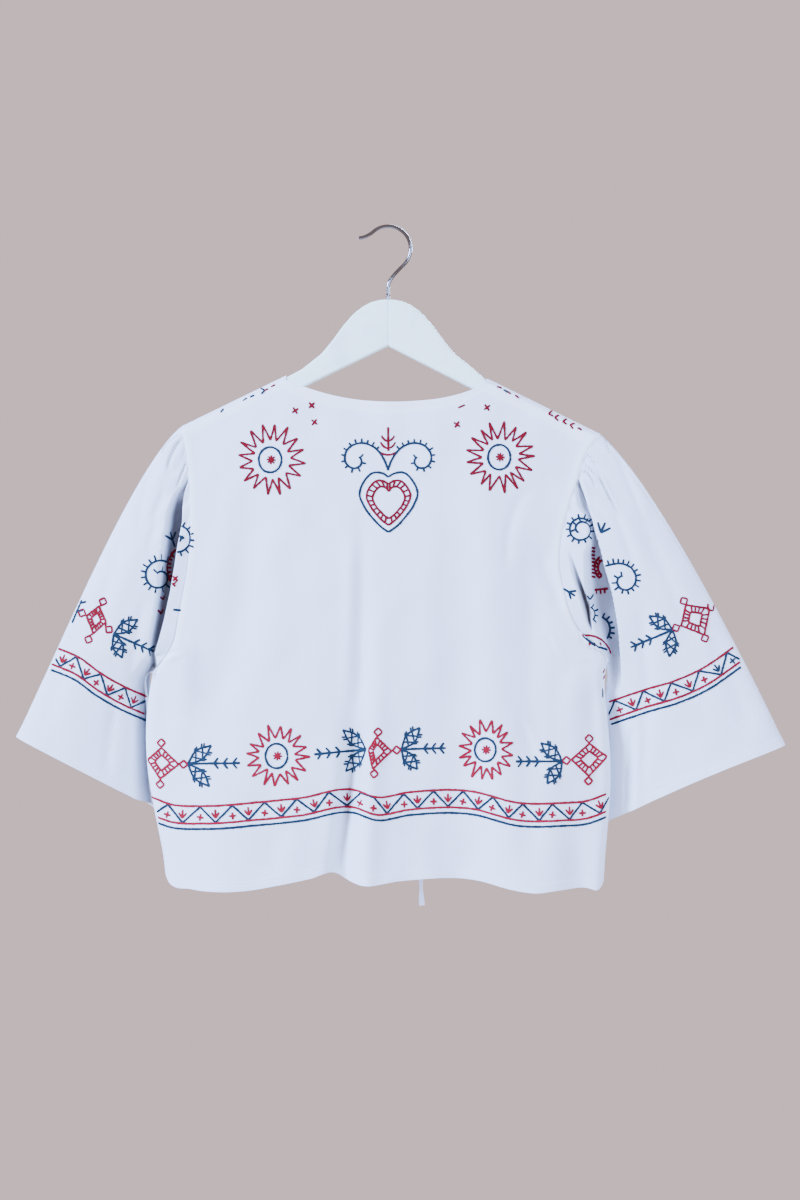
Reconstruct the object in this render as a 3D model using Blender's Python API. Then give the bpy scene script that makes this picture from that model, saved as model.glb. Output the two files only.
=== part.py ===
"""Cropped blouse with gathered half sleeves, hung on a wooden hanger.

The back of the blouse faces -Y and +Z is up. The origin is the inner crest of the hook, where a rail bears.
All sizes are in millimetres and are turned to metres when a mesh is made.
"""

import math

import bmesh
import bpy
import numpy as np

MM = 0.001

# Driving sizes
HANGER_WIDTH = 430.0
HANGER_THICK = 11.5
HANGER_TOP_Z = -74.0
HANGER_ROOT_Z = -122.0
WIRE_RADIUS = 1.9
HOOK_RADIUS = 23.2
CLOTH = 1.4
SEAM_GAP = 0.3
HEM_Z = -676.0
FRONT_HEM_Z = -670.0
TIE_RADIUS = 2.0

# Shoulders: the cloth arches over the hanger's arms, and its seam lies a little to the back
ARCH_RADIUS = 9.4
SEAM_ANGLE = math.radians(-62)
NECK_X = {"left": -105.0, "right": 102.0}
NECK_Z = {"left": -152.0, "right": -155.0}
TIP_X = {"left": -212.0, "right": 218.0}
TIP_Z = {"left": -204.0, "right": -212.0}

# Half depth of the hanging cloth at the middle and at the sides, and how fast it opens below the shoulder
BACK_DEPTH = 31.0
FRONT_DEPTH = 33.0
SIDE_DEPTH = 13.0
OPENING_RATE = 110.0
CAP = 10.0
CAP_STEPS = [0.0, 0.1, 0.8, 2.4, 5.4, 10.0]

# Armhole seam on the back: share of the way from shoulder to underarm, then x and z
ARMHOLE_BACK = {
    "left": [
        (0.00, -212.0, -204.0),
        (0.10, -207.0, -231.0),
        (0.22, -203.4, -262.0),
        (0.33, -202.8, -290.0),
        (0.45, -202.6, -320.0),
        (0.57, -205.0, -350.0),
        (0.68, -210.0, -378.0),
        (0.78, -215.0, -404.0),
        (0.87, -220.0, -427.0),
        (0.94, -231.0, -445.0),
        (1.00, -242.0, -458.0),
    ],
    "right": [
        (0.00, 218.0, -212.0),
        (0.10, 202.5, -234.0),
        (0.22, 193.0, -263.0),
        (0.33, 184.0, -291.0),
        (0.45, 177.0, -320.0),
        (0.57, 175.4, -348.0),
        (0.68, 180.0, -374.0),
        (0.78, 187.0, -398.0),
        (0.87, 198.0, -418.0),
        (0.94, 212.0, -433.0),
        (1.00, 225.0, -445.0),
    ],
}
ARMHOLE_FRONT = {
    "left": [
        (0.00, -212.0, -204.0),
        (0.15, -203.0, -243.0),
        (0.35, -197.0, -295.0),
        (0.60, -198.0, -357.0),
        (0.80, -208.0, -408.0),
        (0.93, -228.0, -443.0),
        (1.00, -242.0, -458.0),
    ],
    "right": [
        (0.00, 218.0, -212.0),
        (0.15, 206.0, -247.0),
        (0.35, 196.0, -295.0),
        (0.60, 193.0, -350.0),
        (0.80, 200.0, -395.0),
        (0.93, 214.0, -428.0),
        (1.00, 225.0, -445.0),
    ],
}
# Side seam: share of the way from underarm to hem, then x and z
SIDE_SEAM = {
    "left": [
        (0.00, -242.0, -458.0),
        (0.12, -246.5, -484.0),
        (0.26, -249.0, -513.0),
        (0.42, -248.3, -546.0),
        (0.58, -244.4, -578.0),
        (0.74, -238.0, -611.0),
        (0.88, -232.0, -641.0),
        (1.00, -229.0, -664.0),
    ],
    "right": [
        (0.00, 225.0, -445.0),
        (0.12, 223.0, -470.0),
        (0.26, 225.5, -500.0),
        (0.42, 228.5, -538.0),
        (0.58, 229.0, -572.0),
        (0.74, 227.0, -608.0),
        (0.88, 224.0, -642.0),
        (1.00, 222.0, -672.0),
    ],
}
# Neckline at the back, x and z
NECK_BACK = [
    (-105.0, -157.0),
    (-83.0, -165.5),
    (-60.0, -172.5),
    (-34.0, -177.5),
    (0.0, -180.0),
    (30.0, -179.0),
    (56.0, -176.0),
    (82.0, -169.0),
    (102.0, -160.0),
]
# Neckline at the front: share of the way from the shoulder to the middle, share of the neck width, and depth below
NECK_FRONT = [(0.0, 1.0, 0.0), (0.25, 0.93, 26.0), (0.5, 0.76, 54.0), (0.75, 0.45, 82.0), (1.0, 0.01, 102.0)]
# Hem at the back, x and z
HEM_BACK = [
    (-229.0, -664.0),
    (-225.0, -671.0),
    (-217.0, -678.0),
    (-200.0, -682.0),
    (-173.0, -684.0),
    (-145.0, -683.0),
    (-108.0, -677.0),
    (-80.0, -671.5),
    (-54.0, -666.0),
    (-42.0, -673.0),
    (-30.0, -677.0),
    (12.0, -674.0),
    (56.0, -671.5),
    (92.0, -674.0),
    (130.0, -683.0),
    (150.0, -685.5),
    (172.0, -683.5),
    (205.0, -681.0),
    (216.0, -680.0),
    (222.0, -672.0),
]
# Folds that hang in the body: x at the hem, lean towards the top, z where it begins, width, and depth outwards
BACK_FOLDS = [
    (-172.0, 14.0, -440.0, 46.0, 13.0),
    (-108.0, 6.0, -520.0, 22.0, 4.0),
    (-46.0, 26.0, -300.0, 11.0, -15.0),
    (-22.0, 20.0, -360.0, 12.0, 7.0),
    (22.0, 10.0, -330.0, 20.0, -4.0),
    (74.0, 6.0, -250.0, 30.0, -11.0),
    (150.0, -4.0, -430.0, 40.0, 12.0),
    (196.0, -12.0, -540.0, 14.0, -4.0),
]
FRONT_FOLDS = [
    (-178.0, 10.0, -430.0, 30.0, 9.0),
    (-118.0, 8.0, -360.0, 18.0, -9.0),
    (-70.0, 6.0, -400.0, 18.0, 8.0),
    (-24.0, 2.0, -420.0, 14.0, -5.0),
    (30.0, 0.0, -430.0, 16.0, 6.0),
    (82.0, -4.0, -350.0, 20.0, -9.0),
    (140.0, -8.0, -420.0, 28.0, 9.0),
    (196.0, -6.0, -500.0, 14.0, -3.0),
]

# Sleeves: outer and inner corner of the cuff as x, y, z
CUFF_OUTER = {"left": (-382.5, 0.0, -524.0), "right": (409.0, 0.0, -532.5)}
CUFF_INNER = {"left": (-243.5, 20.0, -598.0), "right": (221.0, 20.0, -618.0)}
CUFF_HALF_DEPTH = 19.0
CUFF_RISE = {"left": 1.0, "right": 4.0}
# How the sleeve leaves the armhole: share of the ring (0 at the shoulder, 0.5 at the underarm), how far out and
# down it points, how far to the side that share faces, and for how long
LEAVING = [
    (0.00, 0.80, -0.60, 0.00, 55.0),
    (0.12, 0.90, -0.38, 0.22, 50.0),
    (0.25, 0.92, -0.36, 0.20, 46.0),
    (0.38, 0.90, -0.34, 0.08, 40.0),
    (0.45, 0.95, -0.06, 0.00, 30.0),
    (0.50, 0.80, -0.06, -0.40, 18.0),
]
# The cuff's lines run up towards the armhole: share across the cuff, inwards, upwards, for how long
RISING = [(0.0, 0.428, 0.903, 130.0), (0.5, 0.25, 0.96, 100.0), (0.85, 0.0, 1.0, 110.0), (1.0, -0.052, 1.0, 135.0)]
# The deep fold beside the armhole: z, distance out from the armhole's own x, and depth
VALLEY = {
    "left": [
        (-262.0, 2.0, 0.0),
        (-285.0, 7.0, 6.0),
        (-310.0, 13.0, 13.0),
        (-340.0, 17.0, 16.0),
        (-375.0, 17.0, 16.0),
        (-410.0, 18.0, 15.0),
        (-440.0, 20.0, 9.0),
        (-470.0, 22.0, 3.0),
    ],
    "right": [
        (-262.0, 4.0, 0.0),
        (-285.0, 12.0, 5.0),
        (-310.0, 26.0, 12.0),
        (-340.0, 37.0, 16.0),
        (-375.0, 38.0, 17.0),
        (-410.0, 36.0, 15.0),
        (-440.0, 30.0, 8.0),
        (-470.0, 26.0, 2.0),
    ],
}
VALLEY_STEEP = 5.0
VALLEY_SOFT = 15.0
# Gathers at the sleeve head: share of the ring from the shoulder, width, depth and how far they run
GATHERS = {
    "left": [
        (-0.205, 4.0, 2.2, 50.0),
        (-0.165, 4.4, 2.8, 70.0),
        (-0.125, 4.0, 2.4, 60.0),
        (-0.085, 4.6, 3.0, 90.0),
        (-0.045, 4.0, 2.2, 50.0),
        (-0.010, 3.8, 2.0, 60.0),
        (0.030, 4.6, 2.8, 85.0),
        (0.075, 4.2, 2.6, 60.0),
        (0.112, 4.8, 3.2, 95.0),
        (0.150, 4.4, 3.0, 70.0),
        (0.190, 4.2, 2.4, 50.0),
    ],
    "right": [
        (-0.200, 4.2, 2.4, 55.0),
        (-0.160, 4.0, 2.6, 60.0),
        (-0.120, 4.4, 3.0, 85.0),
        (-0.078, 4.0, 2.2, 55.0),
        (-0.040, 4.4, 2.6, 70.0),
        (-0.004, 4.0, 2.0, 80.0),
        (0.036, 4.4, 3.0, 110.0),
        (0.072, 3.8, 2.8, 55.0),
        (0.104, 3.8, 3.0, 60.0),
        (0.136, 3.8, 2.8, 90.0),
        (0.168, 3.8, 2.6, 50.0),
        (0.200, 4.0, 2.2, 45.0),
    ],
}
SLEEVE_ROWS = [0.0, 0.018, 0.042, 0.07, 0.10, 0.14, 0.19, 0.255, 0.33, 0.42, 0.52, 0.63, 0.75, 0.88, 1.0]
HEAD_SHARE = 0.215
HEAD_SPACING = 7.6
UNDER_SPACING = 26.0
# Length round the sleeve that the gathers' widths are measured on
RING_LENGTH = 500.0

# Rows of the panels: 0 at the shoulder, 1 at the underarm, 2 at the hem
BACK_ROWS = [0.0, 0.036, 0.065, 0.10, 0.15, 0.21, 0.28, 0.36, 0.45, 0.54, 0.63, 0.72, 0.80, 0.87, 0.92, 0.96, 1.0]
BACK_ROWS += [1.05, 1.12, 1.22, 1.34, 1.47, 1.60, 1.72, 1.83, 1.92, 1.97, 2.0]
FRONT_ROWS = [0.17, 0.24, 0.32, 0.41, 0.50, 0.57, 0.62, 0.69, 0.76, 0.83, 0.89, 0.93, 0.965, 1.0]
FRONT_ROWS += [1.05, 1.12, 1.22, 1.34, 1.47, 1.60, 1.72, 1.83, 1.92, 1.97, 2.0]
# Degrees round the arch over the shoulder, before the front's rows
ARCH_ANGLES = [0.0, 3.0, 28.0, 53.0, 78.0, 103.0, 128.0, 152.0]
# Rows between which the front's edge is the neckline, and half the gap of the opening below it
NECK_START = 0.12
NECK_SHARE = 0.62
OPENING_HALF_GAP = 1.2

# Hook: how deep its shank is set, and the angles where the round part begins and ends
SHANK_DEPTH = 12.0
HOOK_START = math.radians(-42)
HOOK_END = math.radians(132)
# Upper outline of the hanger from the middle to the neck, x and z
HANGER_TOP = [
    (0.0, -74.0),
    (14.0, -75.8),
    (26.0, -81.5),
    (36.5, -90.0),
    (46.5, -101.5),
    (57.0, -116.0),
    (68.0, -129.5),
    (88.0, -145.5),
]
ARM_HEIGHT = 19.0
JOINT_GAP = 0.3

# Ties: the knot at the top of the front opening, and the route of each hanging end
KNOT_Z = -268.0
KNOT_HALF = (7.5, 4.6, 6.0)
TIE_CLEAR = 0.5
TIE_ENDS = {
    "tie_right": [(3.4, -274.4), (9.0, -330.0), (14.0, -420.0), (24.0, -520.0), (31.0, -610.0), (35.0, -698.0)],
    "tie_left": [(-3.4, -274.4), (-9.0, -330.0), (-12.0, -420.0), (-17.0, -500.0), (-22.0, -580.0), (-25.0, -652.0)],
}


def smooth(keys, values, at):
    """A smooth line through a table's rows, straight on past its ends."""
    keys = np.asarray(keys, float)
    values = np.asarray(values, float)
    at = np.asarray(at, float)
    slopes = np.gradient(values, keys)
    cell = np.clip(np.searchsorted(keys, at, side="right") - 1, 0, len(keys) - 2)
    width = keys[cell + 1] - keys[cell]
    t = np.clip((at - keys[cell]) / width, 0.0, 1.0)
    first = (2 * t**3 - 3 * t**2 + 1) * values[cell] + (t**3 - 2 * t**2 + t) * width * slopes[cell]
    second = (3 * t**2 - 2 * t**3) * values[cell + 1] + (t**3 - t**2) * width * slopes[cell + 1]
    return first + second


def column(table, number):
    return [row[number] for row in table]


def ease(value):
    value = np.clip(value, 0.0, 1.0)
    return value * value * (3 - 2 * value)


def mix(first, second, share):
    return first + (second - first) * share


def ridge(x):
    """Height of the shoulder line, level across the neck."""
    x = np.asarray(x, float)
    left = smooth([TIP_X["left"], NECK_X["left"]], [TIP_Z["left"], NECK_Z["left"]], x)
    right = smooth([NECK_X["right"], TIP_X["right"]], [NECK_Z["right"], TIP_Z["right"]], x)
    between = np.interp(x, [NECK_X["left"], NECK_X["right"]], [NECK_Z["left"], NECK_Z["right"]])
    return np.where(x < NECK_X["left"], left, np.where(x > NECK_X["right"], right, between))


def hanging_folds(folds, x, z, hem):
    total = np.zeros(np.broadcast(x, z).shape)
    for at_hem, lean, begins, width, depth in folds:
        down = np.clip((begins - z) / (begins - hem), 0.0, 1.0)
        middle = at_hem + lean * (1 - down)
        total = total + depth * down**1.4 * np.exp(-(((x - middle) / width) ** 2))
    return total


def half_depth(x, z, front):
    """How far the cloth stands from the middle plane, over and below the arch on the hanger."""
    top = ridge(x) - ARCH_RADIUS
    below = np.maximum(top - z, 0.0)
    across = np.clip(np.abs(x + 8.0) / 236.0, 0.0, 1.0)
    middle = (FRONT_DEPTH if front else BACK_DEPTH) - ARCH_RADIUS
    swell = mix(middle, SIDE_DEPTH - ARCH_RADIUS, across**2.2) * (1 - np.exp(-below / OPENING_RATE))
    near_side = ease((1 - across) / 0.14)
    folds = FRONT_FOLDS if front else BACK_FOLDS
    waves = hanging_folds(folds, x, z, FRONT_HEM_Z if front else HEM_Z) * near_side
    arch = np.sqrt(np.clip(1 - (np.maximum(z - top, 0.0) / ARCH_RADIUS) ** 2, 0.0, 1.0))
    return ARCH_RADIUS * arch + swell + waves


def edge(side, v, front):
    """x, z and closedness of a panel's side edge: v is 0 at the shoulder, 1 at the underarm and 2 at the hem."""
    v = np.asarray(v, float)
    armhole = (ARMHOLE_FRONT if front else ARMHOLE_BACK)[side]
    seam = SIDE_SEAM[side]
    up = np.clip(v, 0.0, 1.0)
    down = np.clip(v - 1, 0.0, 1.0)
    x = np.where(
        v < 1,
        smooth(column(armhole, 0), column(armhole, 1), up),
        smooth(column(seam, 0), column(seam, 1), down),
    )
    z = np.where(
        v < 1,
        smooth(column(armhole, 0), column(armhole, 2), up),
        smooth(column(seam, 0), column(seam, 2), down),
    )
    closed = np.sqrt(np.clip(1 - ((v - 0.80) / 0.20) ** 2, 0.0, 1.0))
    return x, z, np.where(v < 0.80, 1.0, np.where(v < 1, closed, 0.0))


def capped(depth, distance, openness):
    """The depth drawn in to the side seam as a rounded edge, where openness is 0."""
    inward = 1 - np.clip(distance / CAP, 0.0, 1.0)
    return depth * np.sqrt(np.clip(1 - inward**2 * (1 - openness**2), 0.0, 1.0))


def normals(points, ring):
    """Unit normals of a grid of points, each the mean of the faces around it."""
    wide = np.concatenate([points, points[:, :1]], axis=1) if ring else points
    faces = np.cross(wide[1:, 1:] - wide[:-1, :-1], wide[:-1, 1:] - wide[1:, :-1])
    faces /= np.linalg.norm(faces, axis=2)[:, :, None]
    total = np.zeros(wide.shape)
    for down in (0, 1):
        for aside in (0, 1):
            total[down : down + len(faces), aside : aside + faces.shape[1]] += faces
    if ring:
        total[:, 0] += total[:, -1]
        total = total[:, :-1]
    return unit(total)


def unit(vectors):
    return vectors / np.linalg.norm(vectors, axis=-1)[..., None]


def cloth(name, outer, facing, made_of, ring=False):
    """A wall of cloth between a grid of points on its outer face and the same grid moved inwards."""
    inner = outer - CLOTH * facing
    rows, count = outer.shape[:2]
    mesh = bmesh.new()
    skins = [[[mesh.verts.new(point * MM) for point in row] for row in skin] for skin in (outer, inner)]
    last = count if ring else count - 1
    for i in range(last):
        j = (i + 1) % count
        for skin in (0, 1):
            for upper, lower in zip(skins[skin], skins[skin][1:]):
                face = (upper[i], upper[j], lower[j], lower[i])
                mesh.faces.new(face if skin else face[::-1])
        for r in (0, rows - 1):
            rim = (skins[0][r][i], skins[0][r][j], skins[1][r][j], skins[1][r][i])
            mesh.faces.new(rim if r == 0 else rim[::-1])
    if not ring:
        for r in range(rows - 1):
            for i in (0, count - 1):
                rim = (skins[0][r][i], skins[1][r][i], skins[1][r + 1][i], skins[0][r + 1][i])
                mesh.faces.new(rim if i == 0 else rim[::-1])
    bmesh.ops.recalc_face_normals(mesh, faces=mesh.faces)
    data = bpy.data.meshes.new(name)
    mesh.to_mesh(data)
    mesh.free()
    piece = bpy.data.objects.new(name, data)
    bpy.context.scene.collection.objects.link(piece)
    data.shade_smooth()
    data.materials.append(made_of)
    return piece


def material(name, colour, roughness, metallic=0.0):
    made = bpy.data.materials.new(name)
    made.use_nodes = True
    shader = made.node_tree.nodes["Principled BSDF"]
    shader.inputs["Base Color"].default_value = (*colour, 1.0)
    shader.inputs["Roughness"].default_value = roughness
    shader.inputs["Metallic"].default_value = metallic
    return made


def edge_facing(openness, outwards, sign):
    """The way an edge faces: to the viewer where it is open, to the side where it is a closed seam."""
    return unit(np.array([sign * (1 - openness), outwards * openness, 0.0]))


def back_panel():
    """The back's outer face, from the shoulder seam and neckline down to the hem, and the way it faces."""
    shares = np.concatenate([np.linspace(0, 1, 6), 1 + np.linspace(0, 1, 13)[1:], 2 + np.linspace(0, 1, 6)[1:-1]])
    span = TIP_X["right"] - TIP_X["left"]
    neck = [(NECK_X[side] - TIP_X["left"]) / span for side in ("left", "right")]
    place = np.interp(shares, [0, 1, 2, 3], [0.0, *neck, 1.0])
    rows, open_left, open_right = [], [], []
    for v in BACK_ROWS:
        left_x, left_z, left_open = edge("left", v, False)
        right_x, right_z, right_open = edge("right", v, False)
        inner = left_x + CAP + (right_x - left_x - 2 * CAP) * place
        x = np.concatenate([left_x + np.array(CAP_STEPS[:-1]), inner, right_x - np.array(CAP_STEPS[::-1])])
        u = (x - left_x) / (right_x - left_x)
        top_x = TIP_X["left"] + span * u
        seam_z = ridge(top_x) - ARCH_RADIUS * (1 - math.cos(SEAM_ANGLE))
        neck_z = smooth(column(NECK_BACK, 0), column(NECK_BACK, 1), top_x)
        in_neck = (top_x > NECK_X["left"]) & (top_x < NECK_X["right"])
        top_z = np.where(in_neck, np.minimum(neck_z, seam_z), seam_z)
        hem_x = SIDE_SEAM["left"][-1][1] + (SIDE_SEAM["right"][-1][1] - SIDE_SEAM["left"][-1][1]) * u
        hem_z = smooth(column(HEM_BACK, 0), column(HEM_BACK, 1), hem_x)
        left_down = (top_z[0] - min(left_z, top_z[0])) / (top_z[0] - hem_z[0])
        right_down = (top_z[-1] - min(right_z, top_z[-1])) / (top_z[-1] - hem_z[-1])
        z = top_z + (hem_z - top_z) * mix(left_down, right_down, u)
        depth = half_depth(x, z, False)
        depth = capped(depth, x - left_x, left_open)
        depth = capped(depth, right_x - x, right_open)
        rows.append(np.stack([x, -depth - SEAM_GAP / 2, z], axis=1))
        open_left.append(left_open)
        open_right.append(right_open)
    outer = np.array(rows)
    facing = normals(outer, False)
    for r in range(1, len(rows)):
        facing[r, 0] = edge_facing(open_left[r], -1, -1)
        facing[r, -1] = edge_facing(open_right[r], -1, 1)
    at_seam = (outer[0, :, 0] <= NECK_X["left"]) | (outer[0, :, 0] >= NECK_X["right"])
    facing[0, at_seam] = (0.0, math.sin(SEAM_ANGLE), math.cos(SEAM_ANGLE))
    return outer, facing


def front_edges(side, v):
    """Armhole edge and neck edge of a front at row v, past the arch over the shoulder."""
    sign = -1 if side == "left" else 1
    arm_x, arm_z, arm_open = edge(side, v, True)
    arch_z = NECK_Z[side] - ARCH_RADIUS
    down = (v - NECK_START) / (NECK_SHARE - NECK_START)
    if down < 1:
        width = smooth(column(NECK_FRONT, 0), column(NECK_FRONT, 1), down)
        neck_x = sign * max(abs(NECK_X[side]) * width, OPENING_HALF_GAP)
        neck_z = arch_z - smooth(column(NECK_FRONT, 0), column(NECK_FRONT, 2), down)
    else:
        lower = (v - NECK_SHARE) / (2 - NECK_SHARE)
        neck_x = sign * OPENING_HALF_GAP
        neck_z = mix(arch_z - NECK_FRONT[-1][2], FRONT_HEM_Z, lower)
    return float(arm_x), float(arm_z), float(arm_open), float(neck_x), float(neck_z)


def front_panel(side):
    """A front's outer face, over the shoulder from the back seam and down to the hem, and the way it faces."""
    sign = -1 if side == "left" else 1
    shares = np.linspace(0, 1, 11)[1:]
    rows, at_edge = [], []
    seam_step = SEAM_GAP / ARCH_RADIUS
    x_far = TIP_X[side] - sign * np.array(CAP_STEPS)
    x = np.concatenate([x_far, mix(x_far[-1], NECK_X[side], shares)])
    for degrees in ARCH_ANGLES:
        angle = SEAM_ANGLE + seam_step + math.radians(degrees) * (1 - seam_step / math.radians(ARCH_ANGLES[-1]))
        z = ridge(x) - ARCH_RADIUS + ARCH_RADIUS * math.cos(angle)
        y = np.full(len(x), ARCH_RADIUS * math.sin(angle) + SEAM_GAP / 2 * np.sign(angle))
        rows.append(np.stack([x, y, z], axis=1))
        at_edge.append((0.0, math.sin(angle), math.cos(angle)))
    start_z = float(ridge(TIP_X[side])) - ARCH_RADIUS
    for v in FRONT_ROWS:
        arm_x, arm_z, arm_open, neck_x, neck_z = front_edges(side, v)
        arm_z = min(arm_z, start_z - 1.0)
        x_far = arm_x - sign * np.array(CAP_STEPS)
        x = np.concatenate([x_far, mix(x_far[-1], neck_x, shares)])
        z = mix(arm_z, neck_z, (x - arm_x) / (neck_x - arm_x))
        depth = capped(half_depth(x, z, True), np.abs(x - arm_x), arm_open)
        rows.append(np.stack([x, depth + SEAM_GAP / 2, z], axis=1))
        at_edge.append(edge_facing(arm_open, 1, sign))
    outer = np.array(rows)
    facing = normals(outer, False) * sign
    facing[:, 0] = at_edge
    facing[0] = at_edge[0]
    return outer, facing


def spaced(line):
    """The line without points that lie almost on the one before."""
    kept = [line[0]]
    for point in line[1:-1]:
        if min(np.linalg.norm(point - kept[-1]), np.linalg.norm(point - line[-1])) > CLOTH:
            kept.append(point)
    return np.array([*kept, line[-1]])


def armhole_ring(side, back, front):
    """The armhole seam's points and their shares: from the shoulder down the back, round and up the front."""
    down_back = back[: BACK_ROWS.index(1.0) + 1, 0 if side == "left" else -1]
    over = len(ARCH_ANGLES)
    up_front = front[: over + FRONT_ROWS.index(1.0), 0]
    top = int(np.argmin(np.abs(up_front[:over, 1])))
    down = np.concatenate([up_front[2 : top + 1][::-1], down_back])
    up = np.concatenate([down_back[-1:], up_front[top:][::-1]])
    points, shares = [], []
    for line, start in ((spaced(down), 0.0), (spaced(up), 0.5)):
        steps = np.linalg.norm(np.diff(line, axis=0), axis=1)
        along = start + 0.5 * np.concatenate([[0], np.cumsum(steps)]) / steps.sum()
        for i, step in enumerate(steps):
            head = min(along[i], 1 - along[i]) < HEAD_SHARE
            pieces = max(1, math.ceil(step / (HEAD_SPACING if head else UNDER_SPACING)))
            for piece in range(pieces):
                points.append(mix(line[i], line[i + 1], piece / pieces))
                shares.append(mix(along[i], along[i + 1], piece / pieces))
    return np.array(points), np.array(shares)


def sleeve(side, back, front):
    """A sleeve's outer face, in rings from the armhole to the cuff, and the way it faces."""
    sign = -1 if side == "left" else 1
    start, shares = armhole_ring(side, back, front)
    start[:, 0] += sign * SEAM_GAP
    half = np.where(shares <= 0.5, shares, 1 - shares)
    faces_back = np.where(shares <= 0.5, 1.0, -1.0)
    around = 2 * math.pi * shares
    out, drop, aside, reach = (smooth(column(LEAVING, 0), column(LEAVING, i), half) for i in (1, 2, 3, 4))
    # Past the underarm the sleeve swings to the front, whichever side the share faces
    towards_front = np.where(half > 0.45, 1.0, faces_back)
    leave = np.stack([sign * out, -aside * towards_front, drop], axis=1)
    leave /= np.linalg.norm(leave, axis=1)[:, None]
    across = (1 - np.cos(around)) / 2
    outer, inner = np.array(CUFF_OUTER[side]), np.array(CUFF_INNER[side])
    end = outer + (inner - outer) * across[:, None]
    end[:, 1] -= CUFF_HALF_DEPTH * np.sin(around)
    end[:, 2] += CUFF_RISE[side] * np.sin(math.pi * across)
    inwards, upwards, climb = (smooth(column(RISING, 0), column(RISING, i), across) for i in (1, 2, 3))
    rise = np.stack([-sign * inwards, 0 * across, upwards], axis=1)
    rise /= np.linalg.norm(rise, axis=1)[:, None]
    near = start + leave * reach[:, None]
    far = end + rise * climb[:, None]
    outwards = np.stack([sign * 0.90 * np.cos(around), -np.sin(around), 0.43 * np.cos(around)], axis=1)
    length = np.linalg.norm(end - start, axis=1)
    valley = VALLEY[side]
    armhole = ARMHOLE_BACK[side]
    rows = []
    for t in SLEEVE_ROWS:
        points = (1 - t) ** 3 * start + 3 * t * (1 - t) ** 2 * near + 3 * t * t * (1 - t) * far + t**3 * end
        from_seam = t * length
        for middle, width, depth, run in GATHERS[side]:
            offset = np.mod(shares - middle + 0.5, 1.0) - 0.5
            groove = np.exp(-((offset * RING_LENGTH / (width * (1 + from_seam / 90.0))) ** 2))
            fade = ease(from_seam / 7.0) * np.exp(-((from_seam / run) ** 2))
            points = points - outwards * (depth * groove * fade)[:, None]
        z_down = np.clip(-points[:, 2], -valley[0][0], -valley[-1][0])
        fold_x = smooth([-row[2] for row in armhole], column(armhole, 1), np.clip(z_down, 0, -armhole[-1][2]))
        fold_x = fold_x + sign * smooth([-row[0] for row in valley], column(valley, 1), z_down)
        fold_depth = smooth([-row[0] for row in valley], column(valley, 2), z_down)
        away = sign * (points[:, 0] - fold_x)
        width = np.where(away > 0, VALLEY_SOFT, VALLEY_STEEP)
        dip = fold_depth * np.exp(-((away / width) ** 2)) * ease(from_seam / 8.0)
        dip = dip * np.where(shares < 0.5, ease(half / 0.06), 0.35 * ease((half - 0.1) / 0.1))
        dip = dip * ease((0.5 - half) / 0.05)
        points[:, 1] += dip * faces_back
        rows.append(points)
    outer = np.array(rows)
    facing = normals(outer, True) * -sign
    turn = np.roll(start, -1, axis=0) - np.roll(start, 1, axis=0)
    facing[0] = unit(np.stack([0 * shares, turn[:, 2], -turn[:, 1]], axis=1))
    return outer, facing


def tube(name, points, radius, resolution, made_of):
    """A round bar along a line of points."""
    line = bpy.data.curves.new(name, "CURVE")
    line.dimensions = "3D"
    spline = line.splines.new("POLY")
    spline.points.add(len(points) - 1)
    for place, point in zip(spline.points, points):
        place.co = (*(np.array(point) * MM), 1.0)
    line.bevel_depth = radius * MM
    line.bevel_resolution = resolution
    line.use_fill_caps = True
    line.materials.append(made_of)
    piece = bpy.data.objects.new(name, line)
    bpy.context.scene.collection.objects.link(piece)
    return piece


def bend(start, start_way, end, end_way, count):
    """A smooth bend between two points, leaving and arriving in the given ways."""
    start, start_way, end, end_way = (np.array(p, float) for p in (start, start_way, end, end_way))
    t = np.linspace(0, 1, count)[:, None]
    leaving = (2 * t**3 - 3 * t**2 + 1) * start + (t**3 - 2 * t**2 + t) * start_way
    arriving = (3 * t**2 - 2 * t**3) * end + (t**3 - t**2) * end_way
    return leaving + arriving


def hook_line():
    """Centre line of the hook: shank, neck bend, round hook and flared tip."""
    centre_z = WIRE_RADIUS - HOOK_RADIUS
    angles = np.linspace(HOOK_START, HOOK_END, 19)
    arc = np.stack([HOOK_RADIUS * np.cos(angles), 0 * angles, centre_z + HOOK_RADIUS * np.sin(angles)], axis=1)
    ways = np.stack([-np.sin(angles), 0 * angles, np.cos(angles)], axis=1)
    shank_end = (0.0, 0.0, HANGER_TOP_Z + 13.0)
    neck = bend(shank_end, (0, 0, 26.0), arc[0], ways[0] * 24.0, 9)
    tip = bend(arc[-1], ways[-1] * 13.0, (-30.0, 0.0, -10.2), (-13.0, 0, 1.0), 7)
    shank = [(0.0, 0.0, HANGER_TOP_Z - SHANK_DEPTH), (0.0, 0.0, HANGER_TOP_Z - 0.5)]
    return np.concatenate([shank, neck, arc[1:], tip[1:]])


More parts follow.
